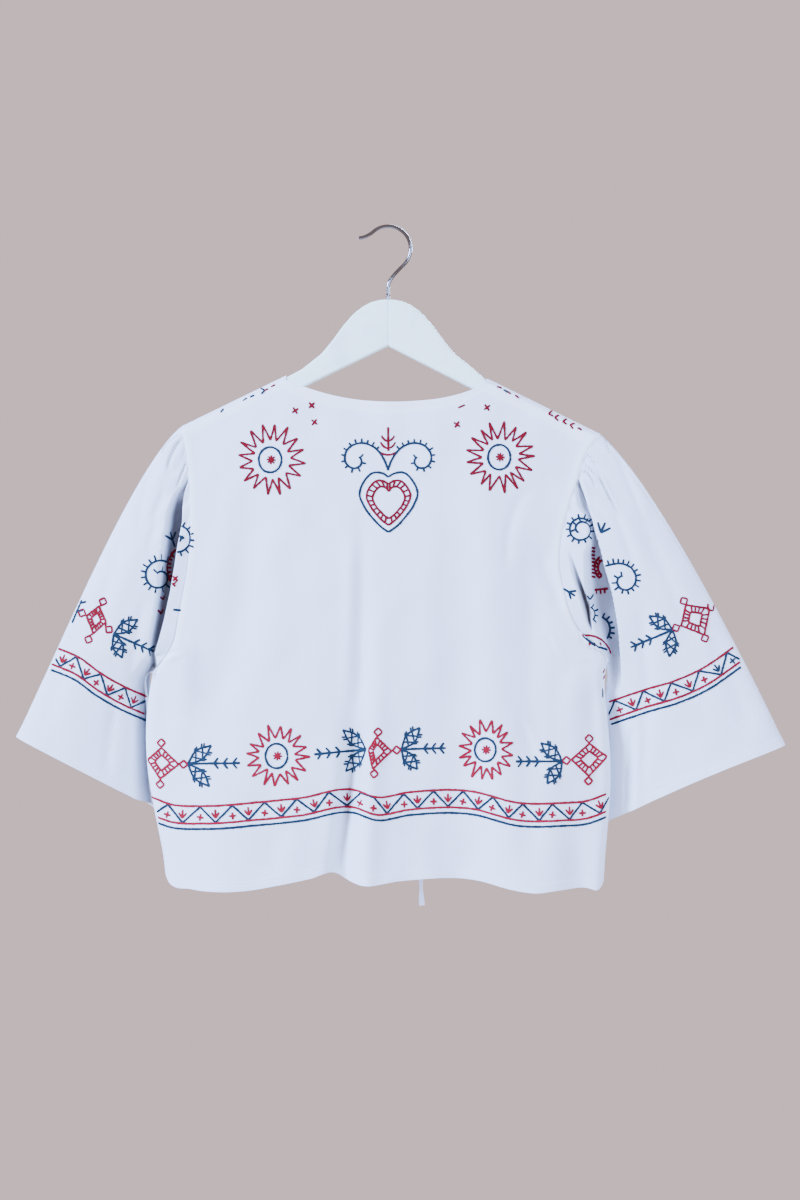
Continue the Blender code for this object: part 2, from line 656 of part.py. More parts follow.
def hanger_half(side, made_of, hole):
    """One arm of the hanger: a flat board with rounded edges, glued to the other at the middle."""
    sign = -1 if side == "left" else 1
    end_x = HANGER_WIDTH / 2 - 1.0
    clear = CLOTH + 1.2
    upper = list(HANGER_TOP)
    lean = (TIP_Z[side] - NECK_Z[side]) / abs(TIP_X[side] - NECK_X[side])
    for x in (abs(NECK_X[side]) - 1.0, 140.0, 175.0, end_x - 9.0):
        upper.append((x, NECK_Z[side] + lean * (x - abs(NECK_X[side])) - clear))
    tip_z = upper[-1][1]
    low_z = tip_z - ARM_HEIGHT
    lower = [(end_x - 4.0, low_z - 1.5), (0.0, HANGER_ROOT_Z)]
    nose = [(end_x - 3.5, tip_z - 3.6), (end_x - 0.6, tip_z - 8.0), (end_x, tip_z - 12.5), (end_x - 1.0, low_z + 2.0)]
    outline = upper + nose + lower
    flat = bmesh.new()
    corners = [flat.verts.new((sign * max(x, JOINT_GAP / 2) * MM, 0, z * MM)) for x, z in outline]
    flat.faces.new(corners)
    bmesh.ops.recalc_face_normals(flat, faces=flat.faces)
    data = bpy.data.meshes.new("hanger_" + side)
    flat.to_mesh(data)
    flat.free()
    piece = bpy.data.objects.new("hanger_" + side, data)
    bpy.context.scene.collection.objects.link(piece)
    data.materials.append(made_of)
    board = piece.modifiers.new("board", "SOLIDIFY")
    board.thickness = HANGER_THICK * MM
    board.offset = 0.0
    rounding = piece.modifiers.new("rounding", "BEVEL")
    rounding.width = 4.4 * MM
    rounding.segments = 3
    rounding.limit_method = "ANGLE"
    rounding.angle_limit = math.radians(60)
    drilled = piece.modifiers.new("drilled", "BOOLEAN")
    drilled.operation = "DIFFERENCE"
    drilled.object = hole
    return piece


def shank_hole():
    """The drill for the hook's shank, a cutter only."""
    deep = SHANK_DEPTH + 0.3
    bpy.ops.mesh.primitive_cylinder_add(
        vertices=24,
        radius=(WIRE_RADIUS + 0.3) * MM,
        depth=(deep + 10.0) * MM,
        location=(0, 0, (HANGER_TOP_Z - deep + (deep + 10.0) / 2) * MM),
    )
    hole = bpy.context.object
    hole.name = "shank_hole"
    hole.hide_render = True
    hole.display_type = "WIRE"
    return hole


def front_face(x, z):
    """y of the front's outer face there."""
    return float(half_depth(np.array(x), np.array(z), True)) + SEAM_GAP / 2


def tie_line(route):
    """A tie's route, close over the front's folds."""
    down = np.arange(route[0][1], route[-1][1], -18.0)
    down = np.append(down, route[-1][1])
    heights = [-z for _, z in route]
    x = smooth(heights, column(route, 0), -down)
    points = []
    for across, z in zip(x, down):
        nearby = [front_face(across + dx, max(z + dz, FRONT_HEM_Z)) for dx in (-5, 0, 5) for dz in (-16, 0, 16)]
        points.append((across, max(nearby) + TIE_RADIUS + TIE_CLEAR, z))
    points = np.array(points)
    eased = points[:, 1].copy()
    for i in range(1, len(eased) - 1):
        eased[i] = max(points[i, 1], (points[i - 1, 1] + points[i + 1, 1]) / 2)
    points[:, 1] = eased
    return points


def knot(made_of):
    """The square knot that holds the two ties, a rounded bead of cloth."""
    y = front_face(0.0, KNOT_Z) + KNOT_HALF[1] + SEAM_GAP
    bpy.ops.mesh.primitive_uv_sphere_add(segments=12, ring_count=8, radius=1.0, location=(0, y * MM, KNOT_Z * MM))
    piece = bpy.context.object
    piece.name = "tie_knot"
    piece.scale = [half * MM for half in KNOT_HALF]
    bpy.ops.object.transform_apply(scale=True)
    piece.data.shade_smooth()
    piece.data.materials.append(made_of)
    return piece


def main():
    for old in list(bpy.data.objects):
        bpy.data.objects.remove(old)
    cotton = material("white_cotton", (0.78, 0.81, 0.87), 0.9)
    lacquer = material("white_lacquer", (0.82, 0.85, 0.86), 0.45)
    steel = material("chromed_steel", (0.62, 0.62, 0.60), 0.2, 1.0)
    back, facing = back_panel()
    cloth("back", back, facing, cotton)
    for side in ("left", "right"):
        front, facing = front_panel(side)
        cloth("front_" + side, front, facing, cotton)
        outer, facing = sleeve(side, back, front)
        cloth("sleeve_" + side, outer, facing, cotton, ring=True)
    hole = shank_hole()
    hanger_half("left", lacquer, hole)
    hanger_half("right", lacquer, hole)
    tube("hook", hook_line(), WIRE_RADIUS, 2, steel)
    knot(cotton)
    for name, route in TIE_ENDS.items():
        tube(name, tie_line(route), TIE_RADIUS, 2, cotton)


main()
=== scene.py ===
import math

import bpy
import numpy as np
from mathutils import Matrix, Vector
from mathutils.bvhtree import BVHTree


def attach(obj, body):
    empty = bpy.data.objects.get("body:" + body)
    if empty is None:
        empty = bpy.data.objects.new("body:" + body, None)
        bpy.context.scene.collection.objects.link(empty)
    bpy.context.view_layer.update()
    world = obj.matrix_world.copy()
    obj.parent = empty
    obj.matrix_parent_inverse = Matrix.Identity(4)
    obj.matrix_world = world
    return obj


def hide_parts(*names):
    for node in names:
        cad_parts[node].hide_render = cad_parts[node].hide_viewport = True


# Cropped white cotton blouse with hand-stitched folk motifs, seen from its back on a wooden hanger.
# Sizes are in millimetres until a mesh is made; mm turns them into metres.
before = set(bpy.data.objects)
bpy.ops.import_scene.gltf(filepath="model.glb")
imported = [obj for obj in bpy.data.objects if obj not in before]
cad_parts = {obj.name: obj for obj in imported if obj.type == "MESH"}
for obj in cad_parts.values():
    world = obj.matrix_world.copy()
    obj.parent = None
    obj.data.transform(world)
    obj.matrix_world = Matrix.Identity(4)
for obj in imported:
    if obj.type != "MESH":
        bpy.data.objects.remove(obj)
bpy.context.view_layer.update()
mm = 0.001
chance = np.random.default_rng(11)  # small unevenness of hand work, the same each run


def linearColour(hexColour):
    parts = [int(hexColour[i : i + 2], 16) / 255 for i in (1, 3, 5)]
    return [p / 12.92 if p <= 0.04045 else ((p + 0.055) / 1.055) ** 2.4 for p in parts] + [1.0]


def addNode(tree, kind, settings=None, links=None):
    node = tree.nodes.new(kind)
    for name, value in (settings or {}).items():
        if isinstance(name, int) or name in node.inputs:
            node.inputs[name].default_value = value
        else:
            setattr(node, name, value)
    for name, source in (links or {}).items():
        tree.links.new(source, node.inputs[name])
    return node


# Camera

cameraPlace = {"sideways": 0.01236, "height": -0.38316, "distance": 2.3, "viewHeight": 1.236}
bpy.ops.object.select_all(action="DESELECT")
bpy.ops.object.camera_add(
    location=(cameraPlace["sideways"], -cameraPlace["distance"], cameraPlace["height"]),
    rotation=(math.radians(90), 0, 0),
)
camera = bpy.context.object
camera.data.sensor_fit = "VERTICAL"
camera.data.sensor_height = 36
camera.data.lens = 36 * cameraPlace["distance"] / cameraPlace["viewHeight"]
bpy.context.scene.camera = camera
print("camera stands")


# The picture, 800 by 1200 pixels: where the origin shows in it, and a pixel's size in the blouse's middle plane
originX, originY, pixelSize = 388, 228, 1.03


# x and z in the blouse's middle plane of places measured in the picture
def fromPhoto(points):
    points = np.asarray(points, float)
    return np.stack([(points[..., 0] - originX) * pixelSize, (originY - points[..., 1]) * pixelSize], axis=-1)


def finishMesh(name, points, faces, uvs=None, angle=50):
    mesh = bpy.data.meshes.new(name)
    mesh.from_pydata(points, [], faces)
    if uvs is not None:
        layer = mesh.uv_layers.new(name="weave")
        layer.data.foreach_set("uv", np.asarray(uvs, np.float32).ravel())
    mesh.update()
    piece = bpy.data.objects.new(name, mesh)
    bpy.context.scene.collection.objects.link(piece)
    bpy.ops.object.select_all(action="DESELECT")
    piece.select_set(True)
    bpy.context.view_layer.objects.active = piece
    bpy.ops.object.shade_smooth_by_angle(angle=math.radians(angle))
    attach(piece, "root")
    return piece


# Faces of the active piece turned outwards, after its doubles are merged where a distance is given
def turnOutwards(merge=0.0):
    bpy.ops.object.mode_set(mode="EDIT")
    bpy.ops.mesh.select_all(action="SELECT")
    if merge:
        bpy.ops.mesh.remove_doubles(threshold=merge)
    bpy.ops.mesh.normals_make_consistent(inside=False)
    bpy.ops.object.mode_set(mode="OBJECT")


# Materials


def newMaterial(name, settings):
    made = bpy.data.materials.new(name)
    made.use_nodes = True
    shader = made.node_tree.nodes["Principled BSDF"]
    for socket, value in settings.items():
        shader.inputs[socket].default_value = value
    return made, made.node_tree, shader


# Cotton plain weave, about 28 threads to the cm: matt, faintly fuzzy, bluish white from the bleaching
cottonLook = {
    "light": "#E6EFFC",
    "shade": "#DCE6F6",
    "double": "#F2F7FF",  # facings and seams lie over a second layer, so that less light goes through
    # painted shade: the colour that deep folds and narrow creases are darkened towards
    "fold": "#4A4446",  # next to no light comes back out of a narrow fold, so its inside is toned down
    "cloudSize": 0.07,
    "thread": 0.0011,  # real threads lie 0.36 mm apart, drawn three times as coarse so that they show
    "weaveDepth": 0.00012,
    "rumpleSize": 0.012,
    "rumpleDepth": 0.0005,
    "roughness": 0.92,
    "sheen": 0.12,
    "sheenRoughness": 0.5,
    "specular": 0.25,
}


def makeCotton(look):
    settings = {"Roughness": look["roughness"], "Specular IOR Level": look["specular"]}
    settings.update({"Sheen Weight": look["sheen"], "Sheen Roughness": look["sheenRoughness"]})
    made, tree, shader = newMaterial("bleachedCottonPlainWeave", settings)
    place = addNode(tree, "ShaderNodeTexCoord")
    whole, flat = {"Vector": place.outputs["Object"]}, {"Vector": place.outputs["UV"]}
    cloud = addNode(tree, "ShaderNodeTexNoise", {"Scale": 1 / look["cloudSize"], "Detail": 4.0}, whole)
    tints = {"data_type": "RGBA", 6: linearColour(look["light"]), 7: linearColour(look["shade"])}
    colour = addNode(tree, "ShaderNodeMix", tints, {0: cloud.outputs["Fac"]}).outputs[2]
    yarn = {"Scale": 1 / look["thread"] / 20 * math.tau, "Distortion": 0.6, "Detail": 1.0, "Detail Scale": 3.0}
    warp = addNode(tree, "ShaderNodeTexWave", {"bands_direction": "X", **yarn}, flat)
    weft = addNode(tree, "ShaderNodeTexWave", {"bands_direction": "Y", **yarn}, flat)
    crossed = {0: warp.outputs["Fac"], 1: weft.outputs["Fac"]}
    weave = addNode(tree, "ShaderNodeMath", {"operation": "ADD"}, crossed)
    relief = {"Distance": look["weaveDepth"], "Strength": 0.6}
    threads = addNode(tree, "ShaderNodeBump", relief, {"Height": weave.outputs[0]})
    waves = {"Scale": 1 / look["rumpleSize"], "Detail": 3.0, "Roughness": 0.55}
    rumple = addNode(tree, "ShaderNodeTexNoise", waves, whole)
    relief = {"Distance": look["rumpleDepth"], "Strength": 0.35}
    both = {"Height": rumple.outputs["Fac"], "Normal": threads.outputs["Normal"]}
    soft = addNode(tree, "ShaderNodeBump", relief, both)
    # Doubled cloth is mixed paler; painted shade in folds and creases mixes the colour darker, by a point
    # attribute
    for tone, most, hexColour in (("doubled", 0.75, look["double"]), ("paintedShade", 1.0, look["fold"])):
        depth = addNode(tree, "ShaderNodeAttribute", {"attribute_name": tone})
        share = addNode(tree, "ShaderNodeMath", {"operation": "MULTIPLY", 1: most}, {0: depth.outputs["Fac"]})
        tints = {"data_type": "RGBA", 7: linearColour(hexColour)}
        colour = addNode(tree, "ShaderNodeMix", tints, {0: share.outputs[0], 6: colour}).outputs[2]
    tree.links.new(colour, shader.inputs["Base Color"])
    tree.links.new(soft.outputs["Normal"], shader.inputs["Normal"])
    return made


# Stranded cotton floss, two strands in the needle: deep colour, matt, ribbed by the twist
flossLook = {
    "red": {"low": "#8E182A", "high": "#6C101C"},
    "blue": {"low": "#1B3042", "high": "#1A2C3E"},
    "lowZ": -0.62,  # where the low colour is full, and where the high one
    "highZ": -0.3,
    "specksPerMetre": 180.0,
    "twist": 0.0009,  # one turn of the strands
    "roughness": 0.8,
    "specular": 0.08,
}


def makeFloss(name, colours, look):
    settings = {"Roughness": look["roughness"], "Specular IOR Level": look["specular"]}
    made, tree, shader = newMaterial(name, settings)
    place = addNode(tree, "ShaderNodeTexCoord")
    whole = {"Vector": place.outputs["Object"]}
    height = addNode(tree, "ShaderNodeSeparateXYZ", {}, {0: place.outputs["Object"]})
    span = {"From Min": look["lowZ"], "From Max": look["highZ"], "To Min": 0.0, "To Max": 1.0}
    share = addNode(tree, "ShaderNodeMapRange", span, {"Value": height.outputs["Z"]})
    speck = addNode(tree, "ShaderNodeTexNoise", {"Scale": look["specksPerMetre"], "Detail": 2.0}, whole)
    tints = {"data_type": "RGBA", 6: linearColour(colours["low"]), 7: linearColour(colours["high"])}
    dyed = addNode(tree, "ShaderNodeMix", tints, {0: share.outputs["Result"]})
    span = {"From Min": 0.3, "From Max": 0.7, "To Min": 0.82, "To Max": 1.12}
    darker = addNode(tree, "ShaderNodeMapRange", span, {"Value": speck.outputs["Fac"]})
    mixed = {"Color": dyed.outputs[2], "Value": darker.outputs["Result"]}
    tone = addNode(tree, "ShaderNodeHueSaturation", {}, mixed)
    ribs = {"bands_direction": "DIAGONAL", "Scale": 1 / look["twist"] / 20 * math.tau, "Distortion": 0.4}
    twist = addNode(tree, "ShaderNodeTexWave", ribs, whole)
    relief = {"Distance": 0.0002, "Strength": 0.5}
    bump = addNode(tree, "ShaderNodeBump", relief, {"Height": twist.outputs["Fac"]})
    tree.links.new(tone.outputs["Color"], shader.inputs["Base Color"])
    tree.links.new(bump.outputs["Normal"], shader.inputs["Normal"])
    return made


# Sprayed white lacquer on beech: satin, the grain only just felt through it
lacquerLook = {
    "colour": "#E4FAF5",
    "worn": "#D6E6E4",
    "patchesPerMetre": 30.0,
    "grain": 0.004,
    "roughness": 0.42,
    "coat": 0.15,
}


def makeLacquer(look):
    settings = {"Roughness": look["roughness"], "Coat Weight": look["coat"]}
    made, tree, shader = newMaterial("whiteLacquerOnBeech", settings)
    place = addNode(tree, "ShaderNodeTexCoord")
    whole = {"Vector": place.outputs["Object"]}
    stretch = addNode(tree, "ShaderNodeMapping", {"Scale": (0.12, 1.0, 1.0)}, whole)
    lines = {"Scale": 1 / look["grain"], "Detail": 4.0}
    grain = addNode(tree, "ShaderNodeTexNoise", lines, {"Vector": stretch.outputs[0]})
    patch = addNode(tree, "ShaderNodeTexNoise", {"Scale": look["patchesPerMetre"], "Detail": 3.0}, whole)
    span = {"From Min": 0.5, "From Max": 0.75}
    worn = addNode(tree, "ShaderNodeMapRange", span, {"Value": patch.outputs["Fac"]})
    tints = {"data_type": "RGBA", 6: linearColour(look["colour"]), 7: linearColour(look["worn"])}
    tint = addNode(tree, "ShaderNodeMix", tints, {0: worn.outputs["Result"]})
    relief = {"Distance": 0.0002, "Strength": 0.25}
    bump = addNode(tree, "ShaderNodeBump", relief, {"Height": grain.outputs["Fac"]})
    tree.links.new(tint.outputs[2], shader.inputs["Base Color"])
    tree.links.new(bump.outputs["Normal"], shader.inputs["Normal"])
    return made


# Bright chrome over drawn steel wire: mirror-like with fine drawing lines along it
chromeLook = {"colour": "#717274", "marksPerMetre": 220.0, "roughnessLow": 0.1, "roughnessHigh": 0.24}


def makeChrome(look):
    settings = {"Metallic": 1.0, "Base Color": linearColour(look["colour"])}
    made, tree, shader = newMaterial("chromedSteelWire", settings)
    place = addNode(tree, "ShaderNodeTexCoord")
    whole = {"Vector": place.outputs["Object"]}
    dull = addNode(tree, "ShaderNodeTexNoise", {"Scale": look["marksPerMetre"], "Detail": 4.0}, whole)
    span = {"From Min": 0.35, "From Max": 0.7, "To Min": look["roughnessLow"], "To Max": look["roughnessHigh"]}
    rough = addNode(tree, "ShaderNodeMapRange", span, {"Value": dull.outputs["Fac"]})
    tree.links.new(rough.outputs["Result"], shader.inputs["Roughness"])
    return made


cotton = makeCotton(cottonLook)
redFloss = makeFloss("madderRedFloss", flossLook["red"], flossLook)
blueFloss = makeFloss("indigoBlueFloss", flossLook["blue"], flossLook)
lacquer = makeLacquer(lacquerLook)
chrome = makeChrome(chromeLook)
print("materials are mixed")


def unit(vectors):
    return vectors / np.maximum(np.linalg.norm(vectors, axis=-1), 1e-9)[..., None]


# Faces of a closed tube whose points run ring by ring
def tubeFaces(count, sides):
    faces = []
    for r in range(count - 1):
        for s in range(sides):
            t = (s + 1) % sides
            faces.append((r * sides + s, r * sides + t, (r + 1) * sides + t, (r + 1) * sides + s))
    faces.append(tuple(range(sides))[::-1])
    faces.append(tuple((count - 1) * sides + s for s in range(sides)))
    return faces


# Points and faces of a flattened strand along a line
def sweep(points, widths, thicks, acrossWays, sides):
    points, acrossWays = np.asarray(points, float), unit(np.asarray(acrossWays, float))
    along = unit(np.gradient(points, axis=0))
    acrossWays = unit(acrossWays - along * np.sum(acrossWays * along, axis=1)[:, None])
    upWays = np.cross(along, acrossWays)
    turns = np.arange(sides) * math.tau / sides
    shape = np.stack([np.cos(turns), np.sin(turns)], axis=1)
    shape = np.sign(shape) * np.abs(shape) ** 0.75
    rings = (
        points[:, None]
        + acrossWays[:, None] * (shape[None, :, :1] * np.asarray(widths)[:, None, None] / 2)
        + upWays[:, None] * (shape[None, :, 1:] * np.asarray(thicks)[:, None, None] / 2)
    )
    return rings.reshape(-1, 3), tubeFaces(len(points), sides)


# Points at even steps on a smooth line through the given ones
def splineThrough(points, step):
    points = np.asarray(points, float)
    gaps = np.linalg.norm(np.diff(points, axis=0), axis=1)
    keys = np.concatenate([[0], np.cumsum(gaps)])
    at = np.linspace(0, keys[-1], max(2, int(round(keys[-1] / step)) + 1))
    return np.stack([smoothLine(keys, points[:, i], at) for i in range(points.shape[1])], axis=1)


def smoothLine(keys, values, at):
    keys, values, at = (np.asarray(v, float) for v in (keys, values, at))
    slopes = np.gradient(values, keys)
    cell = np.clip(np.searchsorted(keys, at, side="right") - 1, 0, len(keys) - 2)
    width = keys[cell + 1] - keys[cell]
    t = np.clip((at - keys[cell]) / width, 0.0, 1.0)
    first = (2 * t**3 - 3 * t**2 + 1) * values[cell] + (t**3 - 2 * t**2 + t) * width * slopes[cell]
    second = (3 * t**2 - 2 * t**3) * values[cell + 1] + (t**3 - t**2) * width * slopes[cell + 1]
    return first + second


# Ties: the routes of the solids, x and y in mm at even steps down, and the flat band sewn along them
tieStart, tieStep = -0.2744, 0.018
tieRoutes = {
    "tieRight": {
        "node": "tie_right",
        "end": -0.7032,  # 5 mm past the solid's end, as the picture has it
        "places": [
            (3.4, 28.2), (5.3, 29.4), (7.2, 30.3), (8.9, 31.1), (10.2, 31.8), (11.1, 32.3), (11.9, 32.8),
            (12.8, 33.2), (13.9, 33.6), (15.4, 34), (17.2, 34.4), (19.1, 34.9), (21.1, 35.5), (22.9, 36.1),
            (24.6, 36.6), (26.1, 37.2), (27.6, 37.8), (29, 38.4), (30.3, 39), (31.4, 39.6), (32.3, 40.3),
            (33.1, 40.9), (33.8, 41), (34.6, 41.1), (35.2, 40.9),
        ],
    },
    "tieLeft": {
        "node": "tie_left",
        "end": -0.652,
        "places": [
            (-3.4, 28.3), (-5.3, 29.4), (-7.2, 30.3), (-8.9, 31.1), (-10, 31.8), (-10.6, 32.4), (-10.9, 32.9),
            (-11.3, 33.3), (-11.9, 33.6), (-12.9, 33.9), (-14, 34), (-15.2, 34.1), (-16.4, 34), (-17.5, 33.9),
            (-18.7, 33.8), (-19.9, 33.7), (-21, 33.4), (-22, 33.1), (-22.9, 32.8), (-23.6, 32.5),
            (-24.3, 32.2), (-25, 31.9),
        ],
    },
}
tieBand = {
    "width": 6.2,
    "thick": 1.1,
    "step": 5.0,
    "sides": 12,
    "twist": 55.0,  # one turn in degrees, where along the tie it is and how long it is, as shares of it
    "twistPlace": 0.955,
    "twistLength": 0.03,
}


def makeTie(name, route, band):
    heights = [round(tieStart - tieStep * i, 4) for i in range(len(route["places"]) - 1)] + [route["end"]]
    path = [(round(x * mm, 4), round(y * mm, 4), z) for (x, y), z in zip(route["places"], heights)]
    line = splineThrough(np.array(path) * 1000, band["step"])
    share = np.linspace(0, 1, len(line))
    turn = np.radians(band["twist"]) * np.exp(-(((share - band["twistPlace"]) / band["twistLength"]) ** 2))
    turn = turn + 0.35 * np.sin(share * 9.0) * np.sin(share * math.pi)
    across = np.stack([np.cos(turn), np.sin(turn), 0 * turn], axis=1)
    width = np.full(len(line), band["width"])
    points, faces = sweep(line, width, np.full(len(line), band["thick"]), across, band["sides"])
    piece = finishMesh(name, points * mm, faces)
    piece.data.materials.append(cotton)
    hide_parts(route["node"])
    return piece


for name, route in tieRoutes.items():
    makeTie(name, route, tieBand)

# Knot: two bands turned round each other, and one over both
knotForm = {
    "width": 5.2,
    "thick": 1.5,
    "step": 0.8,
    "sides": 12,
    "lines": [
        [
            (7, 25.6, -263), (3, 29.6, -264.5), (-3.5, 31.4, -268), (-6.6, 28.6, -271.6), (-3, 26.4, -273.4),
            (2.4, 27.4, -274),
        ],
        [
            (-7, 25.6, -263.4), (-3.4, 28.4, -263.8), (1.5, 32.2, -267.4), (6.2, 30.2, -270.8),
            (5.2, 27.2, -273.2), (-1.8, 27.6, -274.2),
        ],
        [(-1.6, 25.2, -262.6), (-2.6, 30.6, -263.6), (-1, 33.2, -268.4), (0.8, 31.4, -273), (1.2, 26.6, -273.8)],
    ],
}
knotPoints, knotFaces = [], []
for bandLine in knotForm["lines"]:
    line = splineThrough(bandLine, knotForm["step"])
    across = np.cross(np.gradient(line, axis=0), (0, 1, 0))
    size = (np.full(len(line), knotForm[name]) for name in ("width", "thick"))
    points, faces = sweep(line, *size, across, knotForm["sides"])
    knotFaces += [tuple(i + sum(map(len, knotPoints)) for i in face) for face in faces]
    knotPoints.append(points)
knot = finishMesh("tieKnot", np.concatenate(knotPoints) * mm, knotFaces)
knot.data.materials.append(cotton)
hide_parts("tie_knot")
print("ties hang from their knot")

# The blouse's form, the same tables as its solids
bodyForm = {
    "seamGap": 0.06,
    "clothThick": 0.7,
    "hemThick": 1.5,
    "hemWidth": 9.0,
    "hemZ": -676.0,
    "frontHemZ": -667.5,
    "hemLift": 4.7,  # the hem stands nearer the eye than the plane it was measured in, and would look too low
    "archRadius": 9.4,
    "seamAngle": math.radians(-62),
    "backDepth": 31.0,
    "frontDepth": 33.0,
    "sideDepth": 13.0,
    "openingRate": 110.0,
    "cap": 10.0,
    "sideRun": 207.0,  # from the underarm to the hem
    "edgeHem": 7.0,  # the turned edges of neck, front opening and armholes
    "neckFacing": 12.5,
    "shoulderFacing": 9.0,
    "palePatch": (388, 417, 21, 7.5),  # behind the neck: middle and half size, in the picture's pixels
}
neckX = {"left": -105.0, "right": 102.0}
neckZ = {"left": -152.0, "right": -155.0}
tipX = {"left": -212.0, "right": 218.0}
tipZ = {"left": -204.0, "right": -212.0}
capSteps = np.array([0.0, 0.12, 0.45, 1.0, 1.9, 3.1, 4.7, 7.0, 10.0])
# Armholes: share of the way from shoulder to underarm, x, z
armholeBack = {
    "left": [
        (0, -212, -204), (0.10, -207, -231), (0.22, -203.4, -262), (0.33, -202.8, -290), (0.45, -202.6, -320),
        (0.57, -205, -350), (0.68, -210, -378), (0.78, -215, -404), (0.87, -220, -427), (0.94, -231, -445),
        (1, -242, -458),
    ],
    "right": [
        (0, 218, -212), (0.10, 202.5, -234), (0.22, 193, -263), (0.33, 184, -291), (0.45, 177, -320),
        (0.57, 175.4, -348), (0.68, 180, -374), (0.78, 187, -398), (0.87, 198, -418), (0.94, 212, -433),
        (1, 225, -445),
    ],
}
armholeFront = {
    "left": [
        (0, -212, -204), (0.15, -203, -243), (0.35, -197, -295), (0.60, -198, -357), (0.80, -208, -408),
        (0.93, -228, -443), (1, -242, -458),
    ],
    "right": [
        (0, 218, -212), (0.15, 206, -247), (0.35, 196, -295), (0.60, 193, -350), (0.80, 200, -395),
        (0.93, 214, -428), (1, 225, -445),
    ],
}
# Side seams: share of the way from underarm to hem, x, z
sideSeam = {
    "left": [
        (0, -242, -458), (0.12, -246.5, -484), (0.26, -249, -513), (0.42, -248.3, -546), (0.58, -244.4, -578),
        (0.74, -238, -611), (0.88, -232, -641), (1, -229, -664),
    ],
    "right": [
        (0, 225, -445), (0.12, 223, -470), (0.26, 225.5, -500), (0.42, 228.5, -538), (0.58, 229, -572),
        (0.74, 227, -608), (0.88, 224, -642), (1, 222, -672),
    ],
}
# The back's neck edge: x, z. The front's: share of the way down, share of the half width, depth
neckBack = [
    (-105, -157), (-83, -165.5), (-60, -172.5), (-34, -177.5), (0, -180), (30, -179), (56, -176), (82, -169),
    (102, -160),
]
neckFront = [(0.0, 1.0, 0.0), (0.25, 0.93, 26.0), (0.5, 0.76, 54.0), (0.75, 0.45, 82.0), (1.0, 0.01, 102.0)]
# The back's hem: x, z
hemBack = [
    (-229, -664), (-225, -671), (-217, -678), (-200, -682), (-173, -684), (-145, -683), (-108, -677),
    (-80, -671.5), (-54, -666), (-42, -673), (-30, -677), (12, -674), (56, -671.5), (92, -674), (130, -683),
    (150, -685.5), (172, -683.5), (205, -681), (216, -680), (222, -672),
]
# Folds of the body: x at the hem, lean towards the top, z where it begins, width, depth outwards
backFolds = [
    (-172, 14, -440, 46, 13), (-108, 6, -520, 22, 4), (-46, 26, -300, 11, -15), (-22, 20, -360, 12, 7),
    (22, 10, -330, 20, -4), (74, 6, -250, 30, -11), (150, -4, -430, 40, 12), (196, -12, -540, 14, -4),
]
frontFolds = [
    (-178, 10, -430, 30, 9), (-118, 8, -360, 18, -9), (-70, 6, -400, 18, 8), (-24, 2, -420, 14, -5),
    (30, 0, -430, 16, 6), (82, -4, -350, 20, -9), (140, -8, -420, 28, 9), (196, -6, -500, 14, -3),
]


def column(table, number):
    return [row[number] for row in table]


# A table's column read at places of its first one
def readTable(table, number, at):
    return smoothLine(column(table, 0), column(table, number), at)


def ease(value):
    value = np.clip(value, 0.0, 1.0)
    return value * value * (3 - 2 * value)


def blend(first, second, share):
    return first + (second - first) * share


def shoulderLine(x):
    x = np.asarray(x, float)
    left = smoothLine([tipX["left"], neckX["left"]], [tipZ["left"], neckZ["left"]], x)
    right = smoothLine([neckX["right"], tipX["right"]], [neckZ["right"], tipZ["right"]], x)
    between = np.interp(x, [neckX["left"], neckX["right"]], [neckZ["left"], neckZ["right"]])
    return np.where(x < neckX["left"], left, np.where(x > neckX["right"], right, between))


def hangingFolds(folds, x, z, hem):
    total = np.zeros(np.broadcast(x, z).shape)
    for atHem, lean, begins, width, depth in folds:
        down = np.clip((begins - z) / (begins - hem), 0.0, 1.0)
        middle = atHem + lean * (1 - down)
        total = total + depth * down**1.4 * np.exp(-(((x - middle) / width) ** 2))
    return total


# Where the camera sees points of the blouse, in the picture's pixels
def seenPlaces(points):
    away = cameraPlace["distance"] * 1000
    share = away / (away + points[..., 1])
    x = cameraPlace["sideways"] * 1000 + (points[..., 0] - cameraPlace["sideways"] * 1000) * share
    z = cameraPlace["height"] * 1000 + (points[..., 2] - cameraPlace["height"] * 1000) * share
    return originX + x / pixelSize, originY - z / pixelSize


# Small creases and broad waves by place: a line in the picture, half width and depth inwards in mm, and the
# share of a lip that stands up beside it
def creaseDepth(px, py, creases):
    total = np.zeros(np.shape(px))
    for line, width, depth, lip in creases:
        line = splineThrough(line, 3.0)
        ways = unit(np.gradient(line, axis=0))
        gapX, gapY = px[..., None] - line[:, 0], py[..., None] - line[:, 1]
        far = np.hypot(gapX, gapY)
        nearest = np.argmin(far, axis=-1)
        distance = np.take_along_axis(far, nearest[..., None], axis=-1)[..., 0]
        signed = np.take_along_axis(gapX * ways[:, 1] - gapY * ways[:, 0], nearest[..., None], axis=-1)[..., 0]
        side = np.sign(signed) * distance * pixelSize
        share = nearest / max(1, len(line) - 1)
        taper = np.where((share == 0) | (share == 1), 0.0, ease(share / 0.22) * ease((1 - share) / 0.3))
        raised = lip * np.exp(-(((side - 2.2 * width) / (1.6 * width)) ** 2))
        total = total - depth * taper * (np.exp(-((side / width) ** 2)) - raised)
    return total


# A deep fold: how far in each place lies, 0 to 1, and that depth in mm. It is steep at its edge, under which
# it is pulled, and rolls in from the other side
def foldShare(px, py, fold):
    at = np.clip(py, fold["rows"][0][0], fold["rows"][-1][0])
    edge, width, depth = (readTable(fold["rows"], i, at) for i in (1, 2, 3))
    away = (edge - px) * fold["towards"]
    steep = 1 / (1 + np.exp(-np.clip((away - 0.2) / 0.3, -30, 30)))
    roll = fold["roll"]
    soft = 1 - ease((away - (1.0 - roll) * width) / ((0.25 + roll) * width))
    return steep * soft, np.maximum(depth, 0.0)


